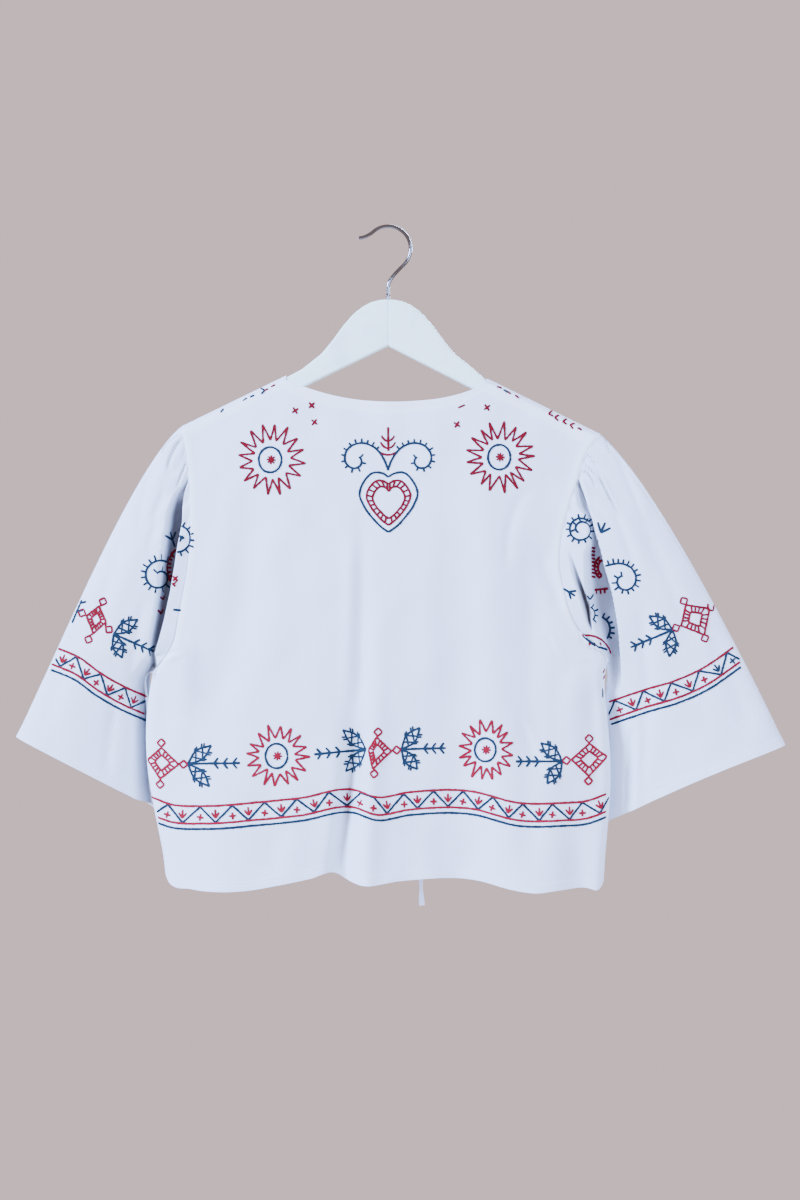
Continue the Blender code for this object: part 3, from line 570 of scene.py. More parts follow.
def halfDepth(x, z, front):
    form = bodyForm
    top = shoulderLine(x) - form["archRadius"]
    below = np.maximum(top - z, 0.0)
    across = np.clip(np.abs(x + 8.0) / 236.0, 0.0, 1.0)
    middle = (form["frontDepth"] if front else form["backDepth"]) - form["archRadius"]
    swell = blend(middle, form["sideDepth"] - form["archRadius"], across**2.2)
    swell = swell * (1 - np.exp(-below / form["openingRate"]))
    nearSide = ease((1 - across) / 0.14)
    folds, hem = (frontFolds, form["frontHemZ"]) if front else (backFolds, form["hemZ"])
    waves = hangingFolds(folds, x, z, hem) * nearSide
    arch = np.sqrt(np.clip(1 - (np.maximum(z - top, 0.0) / form["archRadius"]) ** 2, 0.0, 1.0))
    return form["archRadius"] * arch + swell + waves


# Loose cotton never hangs quite smooth: low waves that run every way, the same on each run
rippleWays = [[chance.uniform(*span) for span in ((0, math.tau), (0.07, 0.2), (0, math.tau))] for _ in range(18)]


def ripple(px, py):
    total = np.zeros(np.shape(px))
    for way, rate, start in rippleWays:
        phase = px * rate * math.cos(way) * 1.4 + py * rate * math.sin(way) * 0.7 + start
        total = total + 0.013 / rate * np.sin(phase)
    return total


# x, z and openness of a panel's side edge: v is 0 at the shoulder, 1 at the underarm and 2 at the hem
def panelEdge(side, v, front):
    v = np.asarray(v, float)
    armhole, seam = (armholeFront if front else armholeBack)[side], sideSeam[side]
    up, down = np.clip(v, 0.0, 1.0), np.clip(v - 1, 0.0, 1.0)
    x, z = (np.where(v < 1, readTable(armhole, i, up), readTable(seam, i, down)) for i in (1, 2))
    closed = np.sqrt(np.clip(1 - ((v - 0.80) / 0.20) ** 2, 0.0, 1.0))
    if side == "right":
        x = x + 5.5 * np.exp(-(((z + 437.0) / 7.5) ** 2))  # a small lip of the seam above the underarm
    return x, z, np.where(v < 0.80, 1.0, np.where(v < 1, closed, 0.0))


def capped(depth, distance, openness):
    inward = 1 - np.clip(distance / bodyForm["cap"], 0.0, 1.0)
    return depth * np.sqrt(np.clip(1 - inward**2 * (1 - openness**2), 0.0, 1.0))


def gridNormals(points, ring):
    wide = np.concatenate([points, points[:, :1]], axis=1) if ring else points
    faces = unit(np.cross(wide[1:, 1:] - wide[:-1, :-1], wide[:-1, 1:] - wide[1:, :-1]))
    total = np.zeros(wide.shape)
    for down in (0, 1):
        for aside in (0, 1):
            total[down : down + len(faces), aside : aside + faces.shape[1]] += faces
    if ring:
        total[:, 0] += total[:, -1]
        total = total[:, :-1]
    return unit(total)


# Outward step of a turned hem and the groove that its stitching pulls in, and the hem's thickness
def hemRelief(distance, width):
    turned = 0.5 * ease((width - distance) / 1.2 + 0.5)
    groove = -0.35 * np.exp(-(((distance - width + 1.4) / 0.7) ** 2))
    return turned + groove, ease((width - distance) / 1.2 + 0.5)


def makeCloth(name, node, outer, facing, thick, uvGrid, ring, tones=None):
    inner = outer - facing * thick[..., None]
    rows, count = outer.shape[:2]
    index = np.arange(rows * count).reshape(rows, count)
    wide = np.concatenate([index, index[:, :1]], axis=1) if ring else index
    before, after = slice(0, -1), slice(1, None)
    corners = [(before, before), (before, after), (after, after), (after, before)]
    skin = np.stack([wide[c] for c in corners], axis=-1).reshape(-1, 4)
    skinUv = np.stack([uvGrid[c] for c in corners], axis=-2).reshape(-1, 4, 2)
    flatPoints = outer.reshape(-1, 3)
    sample = skin[len(skin) // 2 :: 97]
    a, b, c, d = (flatPoints[sample[:, i]] for i in range(4))
    faceWays = np.cross(c - a, d - b)
    if np.sum(faceWays * facing.reshape(-1, 3)[sample[:, 0]]) < 0:
        skin, skinUv = skin[:, ::-1], skinUv[:, ::-1]
    size = rows * count
    faces, uvs = [skin, skin[:, ::-1] + size], [skinUv, skinUv[:, ::-1]]
    edges = set(zip(skin.ravel().tolist(), np.roll(skin, -1, axis=1).ravel().tolist()))
    rim = np.array([(b, a, a + size, b + size) for a, b in sorted(edges) if (b, a) not in edges])
    faces.append(rim)
    wideUv = uvGrid[:, :-1] if ring else uvGrid
    flatUv = wideUv.reshape(-1, 2)
    uvs.append(flatUv[rim % size])
    points = np.concatenate([flatPoints, inner.reshape(-1, 3)]) * mm
    uvs = np.concatenate([u.reshape(-1, 2) for u in uvs]) * mm
    piece = finishMesh(name, points.tolist(), np.concatenate(faces).tolist(), uvs)
    # Point tones: how doubled the cloth is, and how much painted shade it gets in folds and creases
    for tone in ("doubled", "paintedShade"):
        values = np.zeros(size) if tone not in (tones or {}) else tones[tone].ravel()
        layer = piece.data.attributes.new(name=tone, type="FLOAT", domain="POINT")
        layer.data.foreach_set("value", np.tile(values, 2).astype(np.float32))
    piece.data.materials.append(cotton)
    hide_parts(node)
    return piece


# The armhole seam: its turned edges lie under the body and lift it a little beside the stitches
def seamRelief(distance, v):
    if v >= 1:
        return 0 * distance
    return 0.4 * ease((bodyForm["edgeHem"] - distance) / 1.5) - 0.6 * np.exp(-((distance / 0.8) ** 2))


def backPanel():
    form = bodyForm
    upper = [0.0, 0.027, 0.031, 0.036, 0.042, 0.05, 0.06, 0.071]
    downs = np.concatenate([upper, np.linspace(0.083, 1.0, 74), np.linspace(1.0, 1.94, 63)[1:]])
    hemSteps = np.array([10.6, 9.8, 9.0, 8.2, 7.5, 6.8, 5.5, 3.5, 1.6, 0.6, 0.0])
    downs = np.concatenate([downs, 2 - hemSteps / form["sideRun"]])
    leftPart, neckPart, rightPart = np.linspace(0, 1, 32), np.linspace(0, 1, 68)[1:], np.linspace(0, 1, 34)[1:-1]
    shares = np.concatenate([leftPart, 1 + neckPart, 2 + rightPart])
    span = tipX["right"] - tipX["left"]
    neck = [(neckX[side] - tipX["left"]) / span for side in ("left", "right")]
    place = np.interp(shares, [0, 1, 2, 3], [0.0, *neck, 1.0])
    rows, thicks, opens, doubled, paintedShade = [], [], [], [], []
    for v in downs:
        leftX, leftZ, leftOpen = panelEdge("left", v, False)
        rightX, rightZ, rightOpen = panelEdge("right", v, False)
        inner = leftX + form["cap"] + (rightX - leftX - 2 * form["cap"]) * place
        x = np.concatenate([leftX + capSteps[:-1], inner, rightX - capSteps[::-1]])
        u = (x - leftX) / (rightX - leftX)
        topX = tipX["left"] + span * u
        seamZ = shoulderLine(topX) - form["archRadius"] * (1 - math.cos(form["seamAngle"]))
        neckZs = readTable(neckBack, 1, topX)
        inNeck = (topX > neckX["left"]) & (topX < neckX["right"])
        topZ = np.where(inNeck, np.minimum(neckZs, seamZ), seamZ)
        hemX = sideSeam["left"][-1][1] + (sideSeam["right"][-1][1] - sideSeam["left"][-1][1]) * u
        hemZs = readTable(hemBack, 1, hemX) + form["hemLift"] * ease(u / 0.06) * ease((1 - u) / 0.06)
        leftDown = (topZ[0] - min(leftZ, topZ[0])) / (topZ[0] - hemZs[0])
        rightDown = (topZ[-1] - min(rightZ, topZ[-1])) / (topZ[-1] - hemZs[-1])
        z = topZ + (hemZs - topZ) * blend(leftDown, rightDown, u)
        depth = halfDepth(x, z, False)
        seen = seenPlaces(np.stack([x, -depth, z], axis=-1))
        depth = depth + creaseDepth(*seen, backCreases) + ripple(*seen)
        depth = depth + seamRelief(x - leftX, v) + seamRelief(rightX - x, v)
        depth = depth + np.where(inNeck, 0.0, -0.5 * np.exp(-(((topZ - z) / 0.9) ** 2)))
        hemStep, hemTurned = hemRelief(z - hemZs, form["hemWidth"])
        neckStep, neckTurned = hemRelief(np.where(inNeck, topZ - z, 99.0), form["edgeHem"])
        depth = depth + hemStep + neckStep
        depth = capped(depth, x - leftX, leftOpen)
        depth = capped(depth, rightX - x, rightOpen)
        rows.append(np.stack([x, -depth - form["seamGap"] / 2, z], axis=1))
        sideHem = form["edgeHem"] if v < 1 else 0.5
        topFacing = np.where(inNeck, form["neckFacing"], form["shoulderFacing"])
        facings = [(topZ - z, topFacing), (x - leftX, sideHem), (rightX - x, sideHem)]
        patchX, patchY, halfWide, halfHigh = form["palePatch"]
        palePatch = (np.abs(seen[0] - patchX) < halfWide) & (np.abs(seen[1] - patchY) < halfHigh)
        layers = [ease((width - far) / 1.6 + 0.5) for far, width in facings] + [0.6 * palePatch]
        doubled.append(np.max(layers, axis=0))
        # Painted shade along the back's shaded lines
        paintedShade.append(np.clip(-creaseDepth(*seen, backShadows), 0.0, 0.9))
        thicks.append(blend(form["clothThick"], form["hemThick"], np.maximum(hemTurned, neckTurned)))
        opens.append((leftOpen, rightOpen))
    outer = np.array(rows)
    facing = gridNormals(outer, False)
    for r in range(1, len(rows)):
        for i, sign, openness in ((0, -1, opens[r][0]), (-1, 1, opens[r][1])):
            facing[r, i] = unit(np.array([sign * (1 - openness), -openness, 0.0]))
    atSeam = (outer[0, :, 0] <= neckX["left"]) | (outer[0, :, 0] >= neckX["right"])
    facing[0, atSeam] = (0.0, math.sin(form["seamAngle"]), math.cos(form["seamAngle"]))
    return outer, facing, np.array(thicks), downs, {"doubled": np.array(doubled), "paintedShade": np.array(paintedShade)}


# The fronts: turns of the cloth over the shoulder in degrees, shares of the side where the neck's edge begins
# and ends, half the gap of the opening, and the rows from the shoulder down
archAngles = np.concatenate([[0.0, 2.0, 5.0], np.arange(12.0, 152.0, 10.0), [152.0]])
neckStart, neckShare, openingHalfGap = 0.055, 0.62, 1.2
frontDowns = np.concatenate([np.linspace(0.075, 1.0, 74), np.linspace(1.0, 1.95, 63)[1:]])
frontHemSteps = np.array([9.8, 9.0, 8.2, 7.5, 6.8, 5.5, 3.5, 1.6, 0.0])
frontDowns = np.concatenate([frontDowns, 2 - frontHemSteps / bodyForm["sideRun"]])


def frontPanel(side):
    form = bodyForm
    sign = -1 if side == "left" else 1
    shares = np.linspace(0, 1, 62)[1:]
    rows, edgeWays, thicks = [], [], []
    seamStep = form["seamGap"] / form["archRadius"]
    turnShare = 1 - seamStep / math.radians(archAngles[-1])
    farX = tipX[side] - sign * capSteps
    x = np.concatenate([farX, blend(farX[-1], neckX[side], shares)])
    for degrees in archAngles:
        angle = form["seamAngle"] + seamStep + math.radians(degrees) * turnShare
        z = shoulderLine(x) - form["archRadius"] + form["archRadius"] * math.cos(angle)
        y = np.full(len(x), form["archRadius"] * math.sin(angle) + form["seamGap"] / 2 * np.sign(angle))
        rows.append(np.stack([x, y, z], axis=1))
        edgeWays.append((0.0, math.sin(angle), math.cos(angle)))
        thicks.append(np.full(len(x), form["clothThick"]))
    startZ = float(shoulderLine(tipX[side])) - form["archRadius"]
    archZ = neckZ[side] - form["archRadius"]
    for v in frontDowns:
        armX, armZ, armOpen = (float(a) for a in panelEdge(side, v, True))
        down = (v - neckStart) / (neckShare - neckStart)
        if down < 1:
            nowX = sign * max(abs(neckX[side]) * readTable(neckFront, 1, down), openingHalfGap)
            nowZ = archZ - readTable(neckFront, 2, down)
        else:
            nowX = sign * openingHalfGap
            nowZ = blend(archZ - neckFront[-1][2], form["frontHemZ"], (v - neckShare) / (2 - neckShare))
        armZ = min(armZ, startZ - 1.0)
        farX = armX - sign * capSteps
        x = np.concatenate([farX, blend(farX[-1], nowX, shares)])
        z = blend(armZ, nowZ, (x - armX) / (nowX - armX))
        hemStep, hemTurned = hemRelief((2 - v) * form["sideRun"], form["hemWidth"])
        edgeStep, edgeTurned = hemRelief(np.abs(x - nowX), form["edgeHem"])
        depth = halfDepth(x, z, True) + hemStep + edgeStep
        depth = capped(depth, np.abs(x - armX), armOpen)
        rows.append(np.stack([x, depth + form["seamGap"] / 2, z], axis=1))
        edgeWays.append(unit(np.array([sign * (1 - armOpen), armOpen, 0.0])))
        thicks.append(blend(form["clothThick"], form["hemThick"], np.maximum(hemTurned, edgeTurned)))
    outer = np.array(rows)
    facing = gridNormals(outer, False) * sign
    facing[:, 0] = edgeWays
    facing[0] = edgeWays[0]
    return outer, facing, np.array(thicks)


# Sleeves: flared, gathered into the top of the armhole, with one deep fold beside its back edge
sleeveForm = {
    "cuffOuter": {"left": (-382.5, 0.0, -524.0), "right": (409.0, 0.0, -532.5)},
    "cuffInner": {"left": (-243.5, 20.0, -598.0), "right": (222.0, 18.0, -615.0)},
    "cuffHalfDepth": 19.0,
    "cuffRise": {"left": 1.0, "right": 4.0},
    "headShare": 0.235,
    "headSpacing": 1.7,
    "foldSpacing": 1.25,
    "underSpacing": 4.0,
    "hemWidth": 9.0,
    "ringLength": 500.0,  # round the armhole
    "headRun": 260.0,  # from armhole to cuff along the back, and along the underside
    "cuffRun": 280.0,
    "weave": (380.0, 270.0),  # the flat cloth that the threads are drawn on
}
# How the cloth leaves the armhole: share round it from the top, out, drop, aside, reach
leaving = [
    (0, 0.80, -0.60, 0, 55), (0.12, 0.90, -0.38, 0.22, 50), (0.25, 0.92, -0.36, 0.20, 46),
    (0.38, 0.90, -0.34, 0.08, 40), (0.45, 0.95, -0.06, 0, 30), (0.50, 0.80, -0.06, -0.40, 18),
]
# How it comes to the cuff: share across it, inwards, upwards, reach
rising = [(0, 0.428, 0.903, 130), (0.5, 0.25, 0.96, 100), (0.85, 0, 1, 110), (1, -0.052, 1, 135)]
# Gathers of the sleeve heads: share round the armhole, width, depth, how far they run
gathers = {
    "left": [
        (-0.205, 4, 2.2, 50), (-0.165, 4.4, 2.8, 70), (-0.125, 4, 2.4, 60), (-0.085, 4.6, 3, 90),
        (-0.045, 4, 2.2, 50), (-0.010, 3.8, 2, 60), (0.030, 4.6, 2.8, 85), (0.075, 4.2, 2.6, 60),
        (0.112, 4.8, 3.2, 95), (0.150, 4.4, 3, 70), (0.190, 4.2, 2.4, 50),
    ],
    "right": [
        (-0.200, 4.2, 2.4, 55), (-0.160, 4, 2.6, 60), (-0.120, 4.4, 3, 85), (-0.078, 4, 2.2, 55),
        (-0.040, 4.4, 2.6, 70), (-0.004, 4, 2, 80), (0.036, 4.4, 3, 110), (0.072, 3.8, 2.8, 55),
        (0.104, 3.8, 3, 60), (0.136, 3.8, 2.8, 90), (0.168, 3.8, 2.6, 50), (0.200, 4, 2.2, 45),
    ],
}
# Creases read off the picture: a line in its pixels, half width and depth in mm, share of the lip beside it
sleeveCreases = {
    "left": [
        ([(181, 433.5), (174, 438), (168, 443), (163, 450), (161.5, 458)], 1.1, 0.9, 0.5),
        ([(184, 436), (176, 446), (170, 458), (166, 474)], 2.2, 1, 0.5),
        ([(188.5, 460), (185, 466), (182, 473), (179, 481.5), (175, 490)], 1.3, 1.5, 0.5),
        ([(189, 480), (185, 486), (181.5, 490), (178, 499)], 1.2, 1.6, 0.5),
        ([(187, 446), (184, 452), (181, 460)], 1.1, 0.7, 0.5),
        ([(158, 452), (148, 480), (140, 512), (136, 540)], 5, 1.3, 0.5),
        ([(168, 478), (160, 500), (153, 530), (148, 566)], 4, 1.1, 0.5),
        ([(128, 520), (112, 570), (98, 620), (86, 660)], 7, 1.7, 0.5),
        ([(146, 590), (136, 640), (130, 690), (126, 740)], 6, 1.6, 0.5),
        ([(92, 600), (70, 650), (50, 710), (40, 745)], 9, 1.3, 0.5),
        ([(118, 690), (110, 740), (106, 786)], 6.5, 1.7, 0.5),
    ],
    "right": [
        ([(586, 452.5), (590.6, 457.3), (594.8, 463), (597, 468)], 1, 1, 0.5),
        ([(591, 451), (593.6, 455), (596, 461)], 0.9, 0.8, 0.5),
        ([(584, 464.3), (588, 466.6), (591.5, 469.8), (595.4, 475.5)], 1, 1.1, 0.5),
        ([(579.4, 469.4), (583, 470.4), (586.5, 472.2), (592.3, 479.7), (595.3, 490)], 1.1, 1.5, 0.5),
        ([(597, 473), (601, 480), (606, 490), (612, 502), (619, 513)], 1.3, 1.4, 0.5),
        ([(604, 437), (607, 444), (610.5, 455)], 1.1, 0.8, 0.5),
        ([(577, 478), (580, 488), (584, 500), (587.5, 509)], 2.2, 1.9, 0.5),
        ([(614, 446), (624, 470), (636, 500), (648, 530)], 3.6, 1.1, 0.5),
        ([(612, 505), (622, 530), (632, 560), (636, 590)], 4.5, 1.4, 0.5),
        ([(640, 520), (664, 570), (684, 620), (694, 650)], 7.5, 1.6, 0.5),
        ([(640, 600), (644, 640), (648, 690), (650, 730)], 6.5, 1.5, 0.5),
        ([(700, 610), (722, 660), (744, 716), (752, 745)], 9, 1.3, 0.5),
        ([(634, 722), (630, 750), (627.5, 780), (627, 806), (627, 830)], 4, 2.6, 0.5),
        ([(646, 700), (645, 740), (640, 790)], 6, 1.2, 0.3),
    ],
}
# Deep folds beside the armholes and along the body. Rows: height, sharp edge and width in the picture's
# pixels, depth in mm. Then the way to the edge, how much of the width rolls in, how far it is pulled under,
# and how much painted shade darkens its inside
sleeveFolds = {
    "left": [
        {
            "rows": [
                (476, 189, 1, 0), (482, 187.4, 3, 4), (494, 183.5, 8, 10), (508, 181.6, 11, 19),
                (522, 181, 13, 26), (536, 178.4, 12.5, 28), (550, 175.8, 12, 28), (564, 173.8, 12.4, 28),
                (578, 171.4, 11.4, 28), (592, 169, 10.6, 27), (606, 166, 9.6, 25), (620, 163, 9, 23),
                (634, 159.4, 8, 19), (648, 155.3, 6, 14), (660, 152, 4, 9), (672, 150, 3, 0),
            ],
            "towards": 1, "roll": 0.15, "pull": 3.0, "paintedShadeShare": 0.82,
        },
        {
            "rows": [
                (652, 155, 5, 0), (664, 156, 14, 10), (680, 156.5, 24, 17), (705, 153.5, 21, 19),
                (730, 152, 18, 19), (760, 153, 17, 18), (785, 155, 18, 16), (820, 158, 18, 12),
            ],
            "towards": 1, "roll": 0.5, "pull": 3.0, "paintedShadeShare": 0.74,
        },
    ],
    "right": [
        {
            "rows": [
                (474, 577.5, 1, 0), (486, 580.6, 4, 4), (498, 584.4, 7, 8), (508, 587.6, 7, 10),
                (514, 589.3, 4.6, 10), (520, 591.3, 4, 11), (534, 594.8, 5.6, 15), (545, 598, 9, 18),
                (552, 600, 13, 20), (566, 603.2, 16, 22), (579, 607, 19, 23), (596, 611.4, 22, 23),
                (607, 613.4, 22.6, 23), (619, 615.4, 20.5, 23), (632, 617.2, 18, 22), (652, 618.8, 15, 17),
                (668, 620, 13, 11), (694, 621, 9, 0),
            ],
            "towards": 1, "roll": 0.2, "pull": 7.0, "paintedShadeShare": 0.6,
        },
        {
            "rows": [
                (550, 570.5, 2, 0), (564, 575, 4.6, 4), (578, 579.8, 6, 9), (590, 584, 6, 14),
                (602, 587, 5.6, 15), (614, 589.6, 5, 14), (622, 591, 4, 11), (632, 593, 2, 0),
            ],
            "towards": 1, "roll": 0.6, "pull": 2.0, "paintedShadeShare": 0.95,
        },
        {
            "rows": [
                (650, 605, 4, 0), (664, 601, 14, 6), (684, 599, 24, 8), (705, 601, 30, 7), (730, 603, 30, 5),
                (760, 605, 28, 5), (800, 605, 26, 5), (840, 604, 20, 5),
            ],
            "towards": -1, "roll": 1.0, "pull": 0.0, "paintedShadeShare": 0.25,
        },
    ],
}
# Lines on the back that lie in shade: as the creases, with the darkness in place of the depth
backShadows = [
    ([(165, 655), (161, 658.5), (158.2, 663), (155.6, 669), (153.6, 675), (153, 681)], 1.6, 0.95, 0),
    ([(362, 700), (357, 740), (351, 780), (344, 822), (335, 862), (328, 905)], 7, 0.17, 0),
    ([(580, 635.5), (583, 641), (588, 646), (596, 649.5), (603, 654), (606, 660), (606, 668)], 0.9, 0.8, 0),
    ([(598, 649.5), (601, 649), (604.6, 650.5), (607, 652.5)], 1.3, 0.9, 0),
    ([(189, 640), (194, 664), (195, 690), (200, 712)], 9, 0.14, 0),
]
backCreases = [
    ([(579, 634), (583, 641), (588, 646), (596, 650), (603, 655), (606.5, 664)], 1.6, 2.6, 0.9),
    ([(357, 724), (352, 770), (345, 818), (334, 868), (328, 905)], 7.5, 5.5, 0.4),
    ([(352, 520), (351, 600), (350, 680), (352, 740)], 8, -2.4, 0),
    ([(362, 500), (361, 600), (364, 700), (366, 760)], 9, 2.2, 0),
    ([(250, 470), (247, 560), (234, 640), (214, 700), (206, 760)], 20, 4.2, 0),
    ([(186, 600), (184, 660), (178, 720), (172, 800)], 13, -2.4, 0),
    ([(490, 450), (491, 560), (490, 700), (492, 820), (494, 920)], 25, -4.4, 0),
    ([(535, 520), (532, 620), (530, 740), (530, 860), (530, 920)], 13, 2.4, 0),
    ([(428, 540), (428, 620), (432, 720)], 15, -1.8, 0),
    ([(534, 484), (520, 500), (511, 524), (507, 552), (507, 580)], 5, 1.6, 0.3),
    ([(574, 660), (572, 720), (574, 790)], 12, -2.6, 0),
    ([(592, 676), (594, 730), (598, 800)], 7, 2, 0),
    ([(516, 706), (527, 736), (540, 768), (556, 802)], 2.6, 1.2, 0.7),
    ([(546, 632), (553, 648), (563, 664)], 2.2, 1.2, 0.6),
    ([(541, 548), (546, 570), (556, 596), (560, 618)], 6, 1.8, 0.3),
    ([(578, 668), (588, 662), (601, 664)], 1.8, 1, 0.6),
    ([(183, 636), (188, 646), (193, 658)], 2.6, 1.8, 0.5),
    ([(150, 676), (164, 698), (178, 716), (196, 728)], 4, 1.2, 0.6),
    ([(181, 652.5), (171, 653.6), (162.5, 657), (157.6, 663), (153.5, 672), (151.5, 680)], 1.9, 4.5, 0.7),
    ([(222, 470), (216, 500), (214, 540)], 9, 1, 0),
    ([(300, 388), (330, 402), (388, 409), (440, 404), (470, 395)], 3, 0.35, 0),
    ([(272, 880), (276, 850), (286, 820)], 14, 2, 0),
    ([(440, 830), (438, 860), (437, 900)], 14, 1.8, 0),
]


def armholeRing(back, front, downs):
    form = sleeveForm
    last = int(np.argmin(np.abs(downs - 1.0))) + 1
    overArch = len(archAngles)
    frontLast = overArch + int(np.argmin(np.abs(frontDowns - 1.0))) + 1
    downBack, upFront = back[:last], front[:frontLast]
    top = int(np.argmin(np.abs(upFront[:overArch, 1])))
    overBack, overFront = upFront[2 : top + 1][::-1], upFront[top:][::-1]
    lines = [(np.concatenate([overBack, downBack]), 0.0), (np.concatenate([downBack[-1:], overFront]), 0.5)]
    points, shares = [], []
    for line, start in lines:
        kept = [line[0]]
        for point in line[1:-1]:
            if min(np.linalg.norm(point - kept[-1]), np.linalg.norm(point - line[-1])) > 0.8:
                kept.append(point)
        line = np.array([*kept, line[-1]])
        steps = np.linalg.norm(np.diff(line, axis=0), axis=1)
        along = start + 0.5 * np.concatenate([[0], np.cumsum(steps)]) / steps.sum()
        for i, step in enumerate(steps):
            part = "foldSpacing" if along[i] < 0.5 else "underSpacing"
            if min(along[i], 1 - along[i]) < form["headShare"]:
                part = "headSpacing"
            parts = max(1, math.ceil(step / form[part]))
            for part in range(parts):
                points.append(blend(line[i], line[i + 1], part / parts))
                shares.append(blend(along[i], along[i + 1], part / parts))
    return np.array(points), np.array(shares)


# The right sleeve's inner edge hangs in front of the body's side, so that no gap shows beside it
def sleeveTuck(side, t, half):
    if side == "left":
        return np.zeros((len(half), 3))
    swell = ease(t / 0.05) * ease((half - 0.36) / 0.14)
    return swell[:, None] * np.array([-7.0, 7.0, -3.0])


def sleevePanel(side, back, front, downs):
    form = sleeveForm
    sign = -1 if side == "left" else 1
    start, shares = armholeRing(back, front, downs)
    half = np.where(shares <= 0.5, shares, 1 - shares)
    facesBack = np.where(shares <= 0.5, 1.0, -1.0)
    around = math.tau * shares
    out, drop, aside, reach = (readTable(leaving, i, half) for i in (1, 2, 3, 4))
    towardsFront = np.where(half > 0.45, 1.0, facesBack)
    leave = unit(np.stack([sign * out, -aside * towardsFront, drop], axis=1))
    across = (1 - np.cos(around)) / 2
    outerCorner, innerCorner = np.array(form["cuffOuter"][side]), np.array(form["cuffInner"][side])
    end = outerCorner + (innerCorner - outerCorner) * across[:, None]
    end[:, 1] -= form["cuffHalfDepth"] * np.sin(around)
    end[:, 2] += form["cuffRise"][side] * np.sin(math.pi * across)
    inwards, upwards, climb = (readTable(rising, i, across) for i in (1, 2, 3))
    rise = unit(np.stack([-sign * inwards, 0 * across, upwards], axis=1))
    near = start + leave * reach[:, None]
    far = end + rise * climb[:, None]
    outwards = np.stack([sign * 0.90 * np.cos(around), -np.sin(around), 0.43 * np.cos(around)], axis=1)
    length = np.linalg.norm(end - start, axis=1)
    early = np.concatenate([[0.0, 0.8, 1.8, 3.0, 4.2], np.arange(5.4, 48.0, 1.15)]) / form["headRun"]
    steps = np.concatenate([early, np.linspace(0.19, 0.955, 64), 1 - frontHemSteps / form["cuffRun"]])
    onBack = shares < 0.5
    rows, thicks, uvs, tones = [], [], [], []
    for t in steps:
        points = (1 - t) ** 3 * start + 3 * t * (1 - t) ** 2 * near + 3 * t * t * (1 - t) * far + t**3 * end
        fromSeam = t * length
        for middle, width, depth, run in gathers[side]:
            offset = np.mod(shares - middle + 0.5, 1.0) - 0.5
            groove = np.exp(-((offset * form["ringLength"] / (width * (1 + fromSeam / 90.0))) ** 2))
            fade = ease(fromSeam / 7.0) * np.exp(-((fromSeam / run) ** 2))
            points = points - outwards * (0.8 * depth * groove * fade)[:, None]
        points = points + sleeveTuck(side, t, half)
        seen = seenPlaces(points)
        small = creaseDepth(*seen, sleeveCreases[side]) * ease(half / 0.03) * ease((0.5 - half) / 0.03)
        small = small * np.where(onBack, 1.0, 0.7) * ease(fromSeam / 1.5 + 0.25)
        small = small + 0.8 * ripple(*seen) * ease(fromSeam / 12.0)
        points[:, 1] -= small * facesBack
        # Painted shade in the narrow gathers on the back, and in the deep folds below
        gathered = [row for row in sleeveCreases[side] if row[1] < 2.5]
        paintedShade = np.where(onBack, 0.62 * np.clip(-1.3 * creaseDepth(*seen, gathered), 0.0, 1.0), 0.0)
        for fold in sleeveFolds[side]:
            share, depth = foldShare(*seen, fold)
            share = share * ease(fromSeam / 3.0) * ease((0.5 - half) / 0.02)
            share = share * np.where(onBack, ease(half / 0.05), 0.0)
            points[:, 1] += share * depth
            points[:, 0] += share * fold["towards"] * fold["pull"] * np.minimum(depth / 15.0, 1.0)
            paintedShade = np.maximum(paintedShade, fold["paintedShadeShare"] * share * np.minimum(depth / 16.0, 1.0))
        tones.append(paintedShade)
        seamDip = -0.6 * np.exp(-((fromSeam / 1.3) ** 2))
        hemStep, hemTurned = hemRelief((1 - t) * length, form["hemWidth"])
        points = points + outwards * (hemStep + seamDip)[:, None]
        rows.append(points)
        thicks.append(blend(bodyForm["clothThick"], bodyForm["hemThick"], hemTurned))
        wide = np.append(shares, 1.0)
        uvs.append(np.stack([wide * form["weave"][0], np.full(len(wide), t * form["weave"][1])], axis=1))
    outer = np.array(rows)
    facing = gridNormals(outer, True) * -sign
    turn = np.roll(start, -1, axis=0) - np.roll(start, 1, axis=0)
    facing[0] = unit(np.stack([0 * shares, turn[:, 2], -turn[:, 1]], axis=1))
    return outer, facing, np.array(thicks), np.array(uvs), {"paintedShade": np.array(tones)}


# Name and node of each piece of cloth
backGrid, facing, thick, backDowns, tones = backPanel()
weave = backGrid[..., [0, 2]]
clothPieces = [
    makeCloth("backPanel", "back", backGrid, facing, thick, weave, False, tones)
]
frontGrids = {}
for side in ("left", "right"):
    grid, facing, thick = frontPanel(side)
    frontGrids[side] = grid
    name, node, weave = "frontPanel_" + side, "front_" + side, grid[..., [0, 2]]
    clothPieces.append(makeCloth(name, node, grid, facing, thick, weave, False))
for side, edge in (("left", 0), ("right", -1)):
    grid, facing, thick, weave, tones = sleevePanel(side, backGrid[:, edge], frontGrids[side][:, 0], backDowns)
    name, node = "sleeve_" + side + "_cloth", "sleeve_" + side
    clothPieces.append(makeCloth(name, node, grid, facing, thick, weave, True, tones))
print("cloth is cut and hung,", [len(piece.data.polygons) for piece in clothPieces], "faces")

# Hand stitching

# The floss is about 1.7 mm wide; it is drawn coarser here, so that a single line reads as strongly as in life
stitchForm = {
    "length": 3.7,
    "width": 2.45,
    "height": 1.2,
    "overlap": 0.6,
    "sides": 5,
    "swell": (0.85, 1.0, 1.0, 0.85),  # share of the width, and how far it stands off, along a stitch
    "lift": (0.0, 0.3, 0.3, 0.0),
    "uneven": 0.12,
    "widthUneven": 0.12,
    "longest": (3.4, 1.5),  # share of its flat length and mm more, past which it would jump over a fold
}
stitchRows = []  # colour, side of the blouse, four places in the picture, width share


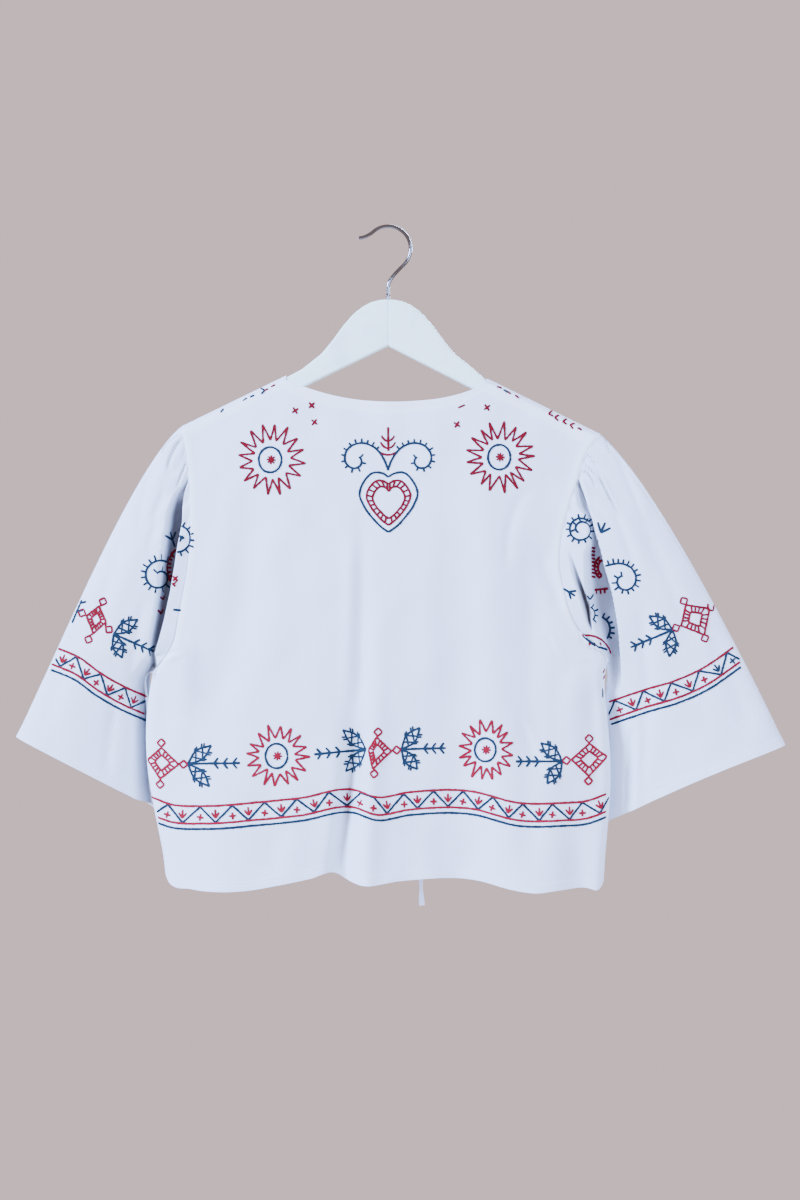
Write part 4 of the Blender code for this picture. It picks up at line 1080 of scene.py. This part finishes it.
# A line of back stitches through places of the picture, its corners kept unless it is curved
def sew(colour, points, side, width=1.0, length=None, closed=False, curved=False):
    points = np.asarray(points, float)
    if closed:
        points = np.concatenate([points, points[:1]])
    runs = [splineThrough(points, 0.8)] if curved else [np.stack([a, b]) for a, b in zip(points, points[1:])]
    for run in runs:
        gaps = np.linalg.norm(np.diff(run, axis=0), axis=1)
        keys = np.concatenate([[0], np.cumsum(gaps)])
        count = max(1, int(round(keys[-1] / (length or stitchForm["length"]))))
        marks = np.linspace(0, keys[-1], count + 1)
        if count > 1:
            marks[1:-1] += chance.uniform(-0.4, 0.4, count - 1)
        for a, b in zip(marks, marks[1:]):
            at = np.linspace(max(a - stitchForm["overlap"], 0), min(b + stitchForm["overlap"], keys[-1]), 4)
            places = np.stack([np.interp(at, keys, run[:, i]) for i in (0, 1)], axis=1)
            places = places + chance.uniform(-1, 1, 2) * stitchForm["uneven"]
            swollen = width * (1 + chance.uniform(-1, 1) * stitchForm["widthUneven"])
            stitchRows.append((colour, side, places, swollen))


# One straight stitch
def stroke(colour, start, end, side, width=1.0):
    sew(colour, [start, end], side, width, length=9.0)


# Angles run clockwise from the right
def stepFrom(place, degrees, reach):
    angle = math.radians(degrees)
    return place[0] + reach * math.cos(angle), place[1] + reach * math.sin(angle)


def strokeAcross(colour, middle, reach, degrees, side, width=1.0):
    stroke(colour, stepFrom(middle, degrees, -reach), stepFrom(middle, degrees, reach), side, width)


def sewCross(x, y, size, colour, side, turn=45.0):
    for angle in (turn, turn + 90.0):
        strokeAcross(colour, (x, y), size, angle, side)


# Long thin rays in one zigzag thread, a ring and a small star. Reach: half width and height of the rays, the
# share of it where their roots lie, and the ring's radius
def sewSun(x, y, reach, side, points=16, turn=0.0):
    wide, high, inner, ring = reach
    ways = np.radians(turn + np.arange(points) * 360 / points) + chance.uniform(-0.05, 0.05, points)
    places = []
    for way in ways:
        tip = 1 + chance.uniform(-0.05, 0.05)
        root = 1 + chance.uniform(-0.08, 0.05)
        places.append((x + wide * tip * math.cos(way), y + high * tip * math.sin(way)))
        after = way + math.pi / points + chance.uniform(-0.04, 0.04)
        places.append((x + wide * inner * root * math.cos(after), y + high * inner * root * math.sin(after)))
    sew("red", places, side, closed=True, length=5.2)
    turns = np.linspace(0, math.tau, 25)[:-1]
    ringPlaces = np.stack([x - 1 + ring * 0.95 * np.cos(turns), y + ring * 1.06 * np.sin(turns)], axis=1)
    sew("blue", ringPlaces, side, closed=True, curved=True, width=1.05)
    for angle in (5, 50, 95, 140):
        strokeAcross("red", (x, y), 4.6, angle, side, 0.95)


# Short strokes standing off a curve at even steps
def sewTicks(colour, line, side, size, every, outward, first=2.0):
    line = splineThrough(line, 0.5)
    ways = unit(np.gradient(line, axis=0))
    gaps = np.concatenate([[0], np.cumsum(np.linalg.norm(np.diff(line, axis=0), axis=1))])
    for at in np.arange(first, gaps[-1], every):
        i = min(int(np.searchsorted(gaps, at)), len(line) - 1)
        off = np.array([ways[i][1], -ways[i][0]]) * outward
        end = line[i] + off * size * (1 + chance.uniform(-0.15, 0.15))
        stroke(colour, line[i] + off * 0.4, end, side, 0.9)


# A square frame on its point, worked as a ladder, with a small loop at each corner
def sewLadderDiamond(corners, loops, side, share=0.52, rungs=4):
    corners = np.asarray(corners, float)
    middle = corners.mean(axis=0)
    inner = middle + (corners - middle) * share
    sew("red", corners, side, closed=True, length=4.0)
    sew("red", inner, side, closed=True, length=3.4)
    for k in range(4):
        a, b, c, d = corners[k], corners[(k + 1) % 4], inner[k], inner[(k + 1) % 4]
        for r in range(rungs):
            t = (r + 0.5) / rungs
            stroke("red", blend(a, b, blend(0.12, 0.88, t)), blend(c, d, t), side, 0.9)
    for loop, corner in zip(loops, corners):
        if loop is None:
            continue
        loop = np.asarray(loop, float)
        out = unit(loop - middle) * 4.2
        aside = np.array([out[1], -out[0]])
        places = [corner, loop - out, loop + aside, loop + out, loop - aside, loop - out]
        sew("red", places, side, length=5.0, width=0.95)


# A pointed leaf: outline, crossing veins inside and hairs along its edge
def sewLeaf(base, tip, side, width=5.2):
    base, tip = np.asarray(base, float), np.asarray(tip, float)
    along = tip - base
    off = np.array([-along[1], along[0]]) / np.linalg.norm(along)
    share = np.linspace(0, 1, 13)
    bulge = width * np.sin(math.pi * share) ** 1.25
    for sign in (1, -1):
        edge = base + along * share[:, None] + off * (sign * bulge)[:, None]
        sew("blue", edge, side, curved=True, length=4.0)
        for start in (0.4, 0.48, 0.68, 0.76):
            root = base + along * start + off * (sign * width * math.sin(math.pi * start) ** 1.25)
            stroke("blue", root, root + along * 0.11 + off * sign * 3.2, side, 0.85)
    for start in (0.24, 0.48):
        end = start + 0.24
        near, past = (width * math.sin(math.pi * t) ** 1.25 for t in (start, end))
        for sign in (1, -1):
            foot = base + along * start + off * near * sign
            stroke("blue", foot, base + along * end - off * past * sign, side, 0.85)


def sewSprig(base, tip, side, chevrons=3, size=7.0):
    base, tip = np.asarray(base, float), np.asarray(tip, float)
    sew("blue", [base, tip], side, length=5.0, width=1.1)
    along = unit(tip - base)
    off = np.array([-along[1], along[0]])
    for t in np.linspace(0.5, 0.86, chevrons):
        root = blend(base, tip, t)
        for sign in (1, -1):
            stroke("blue", root, root + (along * 0.62 + off * sign * 0.78) * size, side)


# Two leaves and a sprig from one place
def sewSpray(base, leaves, sprig, side, sprigFirst=False):
    if sprigFirst:
        sewSprig(base, sprig, side)
    for tip in leaves:
        sewLeaf(base, tip, side)
    if not sprigFirst:
        sewSprig(base, sprig, side)


# A scroll's line: it shrinks from a wide to a narrow reach over its sweep, late where hold is large
def spiralLine(x, y, wide, narrow, start, sweep, hold=1.0):
    share = np.linspace(0, 1, max(8, int(abs(sweep) / 18)))
    reach = wide * (narrow / wide) ** (share**hold)
    ways = np.radians(start + sweep * share)
    return np.stack([x + reach * np.cos(ways), y + reach * np.sin(ways)], axis=1)


def sewScroll(line, side, outward, size, every=5.4, first=1.0):
    sew("blue", line, side, curved=True, length=3.6, width=1.05)
    sewTicks("blue", line, side, size, every, outward, first=first)


# A stem that forks in three near its middle
def sewFork(colour, x, y, turn, size, side):
    for way, first, last in ((0, 0.0, 1.0), (-40, 0.45, 0.55), (40, 0.45, 0.55)):
        foot = stepFrom((x, y), turn, size * first)
        stroke(colour, foot, stepFrom(foot, turn + way, size * last), side)


# Two strokes that meet in a point, open towards the turn
def sewChevron(colour, x, y, turn, size, side):
    for way in (-35, 35):
        stroke(colour, (x, y), stepFrom((x, y), turn + way, size), side)


# Both halves of a heart, each from the notch over its lobe down to the tip
def heartLine(x, notch, top, half, widest, tip):
    wides = np.array([0.0, 0.16, 0.5, 0.86, 1.0, 0.86, 0.52, 0.2, 0.0]) * half
    lobe = [notch, blend(notch, top, 0.7), top, blend(top, widest, 0.45), widest]
    point = [blend(widest, tip, share) for share in (0.3, 0.66, 0.9)]
    line = splineThrough(np.stack([wides, [*lobe, *point, tip]], axis=1), 1.0)
    return line + (x, 0), line * (-1, 1) + (x, 0)


def sewHeart(side):
    for line in heartLine(388.5, 477.0, 472.5, 29.0, 494.0, 532.0):
        sew("blue", line, side, curved=True, length=4.2, width=1.05)
    outer = heartLine(388.5, 484.5, 480.5, 22.0, 496.0, 525.0)
    inner = heartLine(388.7, 491.5, 486.5, 16.3, 498.0, 518.5)
    for first, second in zip(outer, inner):
        sew("red", first, side, curved=True, length=4.0)
        sew("red", second, side, curved=True, length=4.0)
        for t in np.linspace(0.04, 0.95, 12):
            a, b = (line[int(t * (len(line) - 1))] for line in (first, second))
            stroke("red", a, b, side, 0.85)
    sew("red", [(388, 427), (388.3, 451)], side, length=5.0, width=1.1)
    for y, size in ((439.5, 6.5), (446.5, 7.5)):
        for sign in (-1, 1):
            twig = [(388, y + 2), (388 + sign * size * 0.6, y), (388 + sign * size, y - size * 0.6)]
            sew("red", twig, side, curved=True, length=9.0)
    bow = [(388 + x, 455 - x * x * 0.041) for x in (-7.6, -4, 0, 4, 7.6)]
    sew("red", bow, side, curved=True, length=4.5)
    for sign, start in ((-1, 17), (1, 163)):
        line = spiralLine(388 + 32 * sign, 460.5, 34, 4.5, start, 430 * sign, 0.75)
        sewScroll(line, side, sign, size=4.4, every=5.6, first=24.0)


def lineAt(points, x):
    points = np.asarray(points, float)
    return float(smoothLine(points[:, 0], points[:, 1], x))


# Two red lines with a blue zigzag between them, a blue line below, and a small mark in every triangle. Lean
# is how far the marks stand off the zigzag's corners along the band
def sewBand(band, side):
    upper = band["upper"]
    lower, under = ([(x + band[line][0], y + band[line][1]) for x, y in upper] for line in ("lower", "under"))
    for colour, line in (("red", upper), ("red", lower), ("blue", under)):
        sew(colour, line, side, curved=True, width=1.05)
    places = sorted([(x, False) for x in band["peaks"]] + [(x, True) for x in band["valleys"]])
    corners = [(x, lineAt(lower, x) - 0.8 if low else lineAt(upper, x) + 0.8) for x, low in places]
    sew("blue", [band["start"], *corners, band["end"]], side, length=4.6)
    for x, low in places:
        colour = "blue" if (x, low) in places[len(places) - band["blueMarks"] :] else "red"
        x = x - band["lean"] if low else x + band["lean"]
        y = blend(lineAt(upper, x), lineAt(lower, x), 0.5)
        along = unit(np.array([6.0, lineAt(upper, x + 3) - lineAt(upper, x - 3)]))
        across = np.array([-along[1], along[0]])
        if low:
            foot = np.array([x, y]) + across * 3.4
            for aside in (-3.8, 0.0, 3.8):
                stroke(colour, foot + along * aside - across * (8.4 - abs(aside) * 0.8), foot, side, 0.95)
        else:
            middle = np.array([x, y]) + across * 2.6
            tilt = math.degrees(math.atan2(along[1], along[0])) + chance.uniform(-12, 12)
            sewCross(*middle, 3.5, colour, side, turn=tilt)


# Upper is the red line's course over the cloth; the other two lines keep their distance to it
bodyBand = {
    "upper": [
        (152, 797), (170, 804), (205, 806), (260, 802), (300, 798), (355, 790), (375, 797), (410, 792),
        (470, 791), (520, 803), (560, 803), (590, 800), (606, 794),
    ],
    "lower": (0, 17.5),
    "under": (0, 23.0),
    "peaks": [*np.linspace(168, 361, 7), *np.linspace(374, 582, 8)],
    "valleys": [*np.linspace(182.6, 347, 6), *np.linspace(387, 600, 8)],
    "start": (157, 812),
    "end": (609, 797),
    "lean": 0.0,
    "blueMarks": 0,
}


def sewBodyRow(side):
    square = [(161.4, 747.5), (178.6, 764.3), (160.2, 778.7), (147.8, 759.8)]
    sewLadderDiamond(square, [(161.4, 742.8), (183.5, 764.3), (160.2, 784.3), None], side)
    sewSpray((188, 763.8), [(211.4, 745.4), (209.6, 786.4)], (240, 763), side)
    sewSun(277.5, 756, (32, 31, 0.56, 11.6), side, turn=4)
    sewSpray((365.9, 749.3), [(342.7, 729.8), (345.4, 771.3)], (314, 754.3), side, sprigFirst=True)
    if side == "back":
        square = [(376.5, 737.3), (391.2, 751), (372.8, 769), (368.6, 750)]
        sewLadderDiamond(square, [(378, 732), (396.6, 750), (374, 773.8), None], side)
    sewSpray((401.4, 749.3), [(420, 727.5), (417.5, 769.5)], (446, 748), side)
    sewSun(486.3, 749.8, (27.5, 31, 0.56, 11.0), side, turn=10)
    sewSpray((562, 761.4), [(540.7, 742.7), (547, 783.8)], (515.7, 761.4), side, sprigFirst=True)
    square = [(589.3, 743.6), (606.9, 756.7), (588.8, 776), (571.5, 759.7)]
    sewLadderDiamond(square, [(589, 738.6), None, (588.3, 781), (566.4, 760.5)], side)


def sewYoke(side):
    sewSun(271.2, 459.8, (34.3, 35.6, 0.54, 12.0), side, points=16, turn=8)
    sewSun(500.2, 457.2, (34.9, 35.0, 0.54, 11.8), side, points=17, turn=0)
    for x, y in ((295.3, 410.5), (311.7, 405.3), (314.3, 422.2), (487, 407.5), (457, 424.6)):
        sewCross(x, y, 3.8, "red", side, turn=45 + chance.uniform(-12, 12))
    stroke("red", (458, 408), (465, 405), side)
    sewHeart(side)


# Ends of the front's motifs that come over the shoulders: small chevrons in a row below each shoulder's edge
shoulderEdge = [
    (182, 426), (206, 415), (225, 404.4), (245.6, 395), (264, 387.7), (286, 375), (487, 378.6),
    (500.5, 384.6), (531.5, 400), (560, 417), (582, 426), (600, 435),
]
shoulderMarks = {
    "blue": (223.5, 247.0, 254.5, 265.0, 503.5),
    "red": (268.5, 275.5, 497.0, 506.5, 515.0, 548.5, 554.5, 562.5, 570.0, 577.5),
}


def sewShoulders(side):
    for colour, places in shoulderMarks.items():
        for x in places:
            turn = chance.uniform(-20, 20) + (0 if x > 387 else 180)
            sewChevron(colour, x, lineAt(shoulderEdge, x) + 3.6, turn, 5.0, side)


leftBand = {
    "upper": [(52, 646), (80, 658), (99, 672), (125, 687), (150, 698)],
    "lower": (-3, 17.0),
    "under": (-4, 22.5),
    "peaks": np.linspace(76.5, 125, 3),
    "valleys": np.linspace(60, 131, 4),
    "start": (54, 655),
    "end": (149.5, 699),
    "lean": -3.0,
    "blueMarks": 0,
}
rightBand = {
    "upper": [(603, 704), (643.6, 690), (672.7, 681.5), (700.3, 669.5), (736, 645.5)],
    "lower": (4, 16.5),
    "under": (5, 21.5),
    "peaks": np.linspace(615, 727, 5),
    "valleys": np.linspace(636, 721, 4),
    "start": (606.9, 719),
    "end": (739.7, 659.3),
    "lean": 4.0,
    "blueMarks": 2,  # the last of its marks, in blue
}


def sewLeftSleeve(side):
    sewBand(leftBand, side)
    square = [(99, 606), (106, 622), (93.5, 633.5), (86.5, 616)]
    sewLadderDiamond(square, [(103, 601.5), (109, 629.5), (88.5, 639.5), (82, 613)], side)
    sewSpray((113.8, 634), [(138, 619.5), (122, 658)], (154, 651.6), side)
    sewScroll(spiralLine(159.5, 577, 17.0, 4.5, -62, -430, 1.4), side, -1, size=5.6, every=5.2)
    sewSprig((72, 623), (82, 600), side, chevrons=2, size=6)


def sewLeftFold(side):
    sewScroll(spiralLine(176.5, 539, 14.2, 13.2, -68, 156), side, 1, size=4.8, every=5.4)
    sewFork("blue", 179.4, 541.8, -62, 7, side)
    sewFork("blue", 174.8, 547, -108, 16, side)
    arc = spiralLine(191, 568, 24, 24, 230, -100)
    sew("red", arc, side, curved=True, width=1.1)
    sewTicks("red", arc, side, 4.4, 4.6, 1)
    sewChevron("red", 163.2, 599.4, -110, 4, side)
    sewChevron("red", 161.0, 613.6, -100, 5, side)
    sewCross(175.3, 578.6, 3.4, "red", side)
    sewChevron("blue", 181, 610.4, 150, 8, side)


def sewRightSleeve(side):
    sewBand(rightBand, side)
    square = [(685.8, 604.9), (709.5, 608.7), (704.1, 634.8), (681.2, 625.6)]
    sewLadderDiamond(square, [(683.8, 601), (710.6, 607.2), (704.9, 638.3), (675.8, 627.9)], side, share=0.5)
    sewSpray((672.4, 629.9), [(649, 616), (669.4, 657)], (630.4, 647.4), side)
    sewScroll(spiralLine(624, 581, 24, 5.5, -142, 400, 0.7), side, 1, size=5.0, every=4.6, first=4.0)


def sewRightFold(side):
    sewScroll(spiralLine(580.7, 529.5, 11.2, 3.4, -40, -560, 3.5), side, -1, size=4.6, every=5.2)
    sewFork("blue", 597, 541, -66, 20, side)
    for y in np.arange(547.5, 577, 3.6):
        stroke("red", (591.4, y), (595.2, y + 0.8), side)
    for reach in (13.0, 9.6):
        sew("red", spiralLine(607.5, 567.5, reach, reach, 235, -110), side, curved=True, width=1.1)
    sewTicks("red", spiralLine(607.5, 567.5, 9.6, 9.6, 235, -110), side, 3.2, 3.2, -1)
    sew("red", [(594.4, 590), (608, 588.6)], side, width=1.1)
    sewTicks("red", [(594.4, 590), (608, 588.6)], side, 4.8, 4.2, -1, first=1.5)
    sewChevron("blue", 589.7, 599.6, -90, 6.4, side)
    sewScroll(spiralLine(586.6, 614.4, 8.2, 8.2, -62, 122), side, 1, size=4.0, every=4.4)
    sewScroll(spiralLine(596.5, 629.5, 13.6, 13.6, -68, 110), side, 1, size=5.0, every=4.4)
    sewFork("blue", 563.3, 588.4, 32, 14, side)
    sew("red", spiralLine(586.5, 660, 25, 25, -101, 86), side, curved=True, width=1.1)
    sew("blue", [(583.2, 636.5), (594.5, 645), (607.4, 650)], side, curved=True, width=1.1)
    for x in (588.6, 594.2, 599.8):
        stroke("red", (x, 642.6), (x + 1.4, 645.2), side)
    for y in (673, 679):
        sewChevron("red", 602.8, y, -30, 4.6, side)
    stroke("blue", (602.6, 688.4), (602.8, 697.4), side)


for side in ("back", "front"):
    sewBand(bodyBand, side)
    sewBodyRow(side)
    sewLeftSleeve(side)
    sewRightSleeve(side)
sewYoke("back")
sewShoulders("back")
sewLeftFold("back")
sewRightFold("back")
print(len(stitchRows), "stitches are marked")

# The stitches lie on the cloth where the eye, or for the front a straight look from behind, meets it
treePoints, treeFaces = [], []
for piece in clothPieces:
    first = len(treePoints)
    treePoints += [v.co.copy() for v in piece.data.vertices]
    treeFaces += [tuple(first + i for i in p.vertices) for p in piece.data.polygons]
clothTree = BVHTree.FromPolygons(treePoints, treeFaces)
eye = Vector((cameraPlace["sideways"], -cameraPlace["distance"], cameraPlace["height"]))


def onCloth(places, side):
    flat = fromPhoto(places) * mm
    found = []
    for x, z in flat:
        if side == "back":
            hit = clothTree.ray_cast(eye, (Vector((x, 0, z)) - eye).normalized())
        else:
            hit = clothTree.ray_cast(Vector((x, 0.5, z)), Vector((0, -1, 0)))
        if hit[0] is None:
            return None, None
        found.append((hit[0], hit[1] if hit[1].y * (1 if side == "front" else -1) > 0 else -hit[1]))
    points = np.array([f[0] for f in found]) * 1000
    steps = np.linalg.norm(np.diff(points, axis=0), axis=1)
    flatSteps = np.linalg.norm(np.diff(flat, axis=0), axis=1) * 1000
    share, more = stitchForm["longest"]
    if (steps > flatSteps * share + more).any():
        return None, None
    return points, np.array([f[1] for f in found])


def makeStitches(name, colour, material):
    form = stitchForm
    sides, swell, lift = form["sides"], np.array(form["swell"]), np.array(form["lift"])
    turns = math.pi / 2 + np.arange(sides) * math.tau / sides
    allPoints, allFaces, count = [], [], 0
    template = tubeFaces(len(swell), sides)
    for rowColour, side, places, width in stitchRows:
        if rowColour != colour:
            continue
        points, ways = onCloth(places, side)
        if points is None:
            continue
        across = unit(np.cross(ways, unit(points[-1] - points[0])))
        spot = points + ways * lift[:, None]
        wide = np.cos(turns)[None, :, None] * form["width"] / 2 * width * swell[:, None, None]
        high = np.sin(turns)[None, :, None] * form["height"] / 2 * swell[:, None, None]
        ring = spot[:, None] + across[:, None] * wide + ways[:, None] * high
        allPoints.append(ring.reshape(-1, 3))
        allFaces += [tuple(count + i for i in face) for face in template]
        count += len(swell) * sides
    piece = finishMesh(name, (np.concatenate(allPoints) * mm).tolist(), allFaces, angle=60)
    turnOutwards()
    piece.data.materials.append(material)
    print(name, len(allPoints), "stitches,", len(allFaces), "faces")
    return piece


makeStitches("redStitches", "red", redFloss)
makeStitches("blueStitches", "blue", blueFloss)

# Hanger: two flat arms glued at the middle, edges rounded over
hangerForm = {
    "width": 430.0,
    "thick": 11.5,
    "rootZ": -122.0,
    "armHeight": 19.0,
    "jointGap": 0.3,
    "rounding": 3.4,
    "jointShare": 0.14,  # how much of that rounding the glued edges get
    "segments": 6,
    "clear": 2.6,
    "top": [
        (0, -74), (7, -74.4), (14, -75.8), (20, -78.1), (26, -81.5), (31, -85.2), (36.5, -90), (46.5, -101.5),
        (57, -116), (68, -129.5), (88, -145.5),
    ],
}


def makeHangerArm(side, form):
    sign = -1 if side == "left" else 1
    endX = form["width"] / 2 - 1.0
    lean = (tipZ[side] - neckZ[side]) / abs(tipX[side] - neckX[side])
    upper = list(form["top"])
    for x in (abs(neckX[side]) - 1.0, 140.0, 175.0, endX - 9.0):
        upper.append((x, neckZ[side] + lean * (x - abs(neckX[side])) - form["clear"]))
    tipHigh = upper[-1][1]
    low = tipHigh - form["armHeight"]
    nose = [(endX - 3.5, tipHigh - 3.6), (endX - 0.6, tipHigh - 8.0), (endX, tipHigh - 12.5)]
    outline = upper + nose + [(endX - 1.0, low + 2.0), (endX - 4.0, low - 1.5), (0.0, form["rootZ"])]
    outline = [(sign * max(x, form["jointGap"] / 2) * mm, 0.0, z * mm) for x, z in outline]
    bpy.ops.object.select_all(action="DESELECT")
    bpy.ops.mesh.primitive_plane_add(size=0.01, location=(0, 0, 0))
    arm = bpy.context.object
    arm.name = "hangerArm_" + side
    bpy.ops.object.mode_set(mode="EDIT")
    bpy.ops.mesh.select_all(action="SELECT")
    bpy.ops.mesh.merge(type="CENTER")
    bpy.ops.transform.translate(value=outline[0])
    for before, after in zip(outline, outline[1:]):
        bpy.ops.mesh.extrude_vertices_move(TRANSFORM_OT_translate={"value": Vector(after) - Vector(before)})
    bpy.ops.mesh.select_all(action="SELECT")
    bpy.ops.mesh.edge_face_add()
    bpy.ops.object.mode_set(mode="OBJECT")
    board = arm.modifiers.new("board", "SOLIDIFY")
    board.thickness, board.offset = form["thick"] * mm, 0.0
    bpy.ops.object.modifier_apply(modifier="board")
    bpy.ops.object.mode_set(mode="EDIT")
    bpy.ops.mesh.select_all(action="DESELECT")
    bpy.ops.mesh.edges_select_sharp(sharpness=math.radians(60))
    bpy.ops.object.mode_set(mode="OBJECT")
    weights = []
    for edge in arm.data.edges:
        glued = all(abs(arm.data.vertices[v].co.x) < 1.0 * mm for v in edge.vertices)
        weights.append((form["jointShare"] if glued else 1.0) if edge.select else 0.0)
    layer = arm.data.attributes.new(name="bevel_weight_edge", type="FLOAT", domain="EDGE")
    layer.data.foreach_set("value", weights)
    rounding = arm.modifiers.new("rounding", "BEVEL")
    rounding.width, rounding.segments = form["rounding"] * mm, form["segments"]
    rounding.limit_method = "WEIGHT"
    bpy.ops.object.modifier_apply(modifier="rounding")
    turnOutwards()
    bpy.ops.object.shade_smooth_by_angle(angle=math.radians(40))
    arm.data.materials.append(lacquer)
    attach(arm, "root")
    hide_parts("hanger_" + side)
    return arm


for side in ("left", "right"):
    makeHangerArm(side, hangerForm)
print("hanger arms are rounded and lacquered")

# Hook: one wire, bent to a round crest with a flared tip
hookForm = {
    "wire": 1.9,
    "radius": 23.2,
    "start": -42.0,
    "end": 132.0,
    "shankTop": -61.0,
    "shankLow": -86.0,
    "tip": (-30.0, 0.0, -10.2),
}


def bendLine(start, startWay, end, endWay, count):
    start, startWay, end, endWay = (np.array(p, float) for p in (start, startWay, end, endWay))
    t = np.linspace(0, 1, count)[:, None]
    leavingPart = (2 * t**3 - 3 * t**2 + 1) * start + (t**3 - 2 * t**2 + t) * startWay
    return leavingPart + (3 * t**2 - 2 * t**3) * end + (t**3 - t**2) * endWay


def makeHook(form):
    middleZ = form["wire"] - form["radius"]
    angles = np.radians(np.linspace(form["start"], form["end"], 60))
    outWays = np.stack([np.cos(angles), 0 * angles, np.sin(angles)], axis=1)
    arc = form["radius"] * outWays + (0, 0, middleZ)
    ways = np.stack([-np.sin(angles), 0 * angles, np.cos(angles)], axis=1)
    neck = bendLine((0, 0, form["shankTop"]), (0, 0, 26), arc[0], ways[0] * 24, 24)
    tip = bendLine(arc[-1], ways[-1] * 13, form["tip"], (-13, 0, 1), 16)
    line = np.concatenate([[(0, 0, form["shankLow"])], neck, arc[1:], tip[1:]])
    bpy.ops.object.select_all(action="DESELECT")
    bpy.ops.curve.primitive_nurbs_path_add(location=(0, 0, 0))
    wire = bpy.context.object
    wire.name = "wireHook"
    wire.data.splines.clear()
    spline = wire.data.splines.new("POLY")
    spline.points.add(len(line) - 1)
    for place, point in zip(spline.points, line):
        place.co = (*(point * mm), 1.0)
    wire.data.bevel_depth = form["wire"] * mm
    wire.data.bevel_resolution = 6
    wire.data.use_fill_caps = True
    bpy.ops.object.convert(target="MESH")
    wire = bpy.context.object
    turnOutwards(merge=0.00001)
    bpy.ops.object.shade_smooth_by_angle(angle=math.radians(40))
    wire.data.materials.append(chrome)
    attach(wire, "root")
    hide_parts("hook")
    return wire


makeHook(hookForm)
print("hook is bent")

# Floor and light
studio = {
    "floorZ": -1.62,
    "floorRadius": 1.15,
    "floorColour": "#D8D2D0",
    "floorRoughness": 0.9,
    "background": (0.856, 0.662, 0.687, 1.0),
    "backgroundStrength": 1.0,
    "lampColour": "#AECBFF",
    "lampSize": 1.6,
    "aim": (0, 0, -0.4),
}
bpy.ops.object.select_all(action="DESELECT")
bpy.ops.mesh.primitive_circle_add(
    vertices=128, radius=studio["floorRadius"], fill_type="NGON", location=(0, 0, studio["floorZ"])
)
floor = bpy.context.object
floor.name = "studioFloor"
paint = {"Base Color": linearColour(studio["floorColour"]), "Roughness": studio["floorRoughness"]}
floor.data.materials.append(newMaterial("matPaleFloor", paint)[0])
world = bpy.data.worlds.new("paleStudio")
world.use_nodes = True
world.node_tree.nodes["Background"].inputs["Color"].default_value = studio["background"]
world.node_tree.nodes["Background"].inputs["Strength"].default_value = studio["backgroundStrength"]
bpy.context.scene.world = world
lamps = [
    ("keyLamp", (-4.0, -2.5, 1.6), 1300.0),
    ("fillLamp", (2.0, -2.4, 0.0), 195.0),
    ("backLamp", (0.8, 2.4, 1.0), 420.0),
]
for name, place, watts in lamps:
    bpy.ops.object.light_add(type="AREA", location=place)
    lamp = bpy.context.object
    lamp.name = name
    lamp.data.size = studio["lampSize"]
    lamp.data.energy = watts
    lamp.data.color = linearColour(studio["lampColour"])[:3]
    lamp.rotation_euler = (Vector(studio["aim"]) - Vector(place)).to_track_quat("-Z", "Y").to_euler()
print("studio is lit")
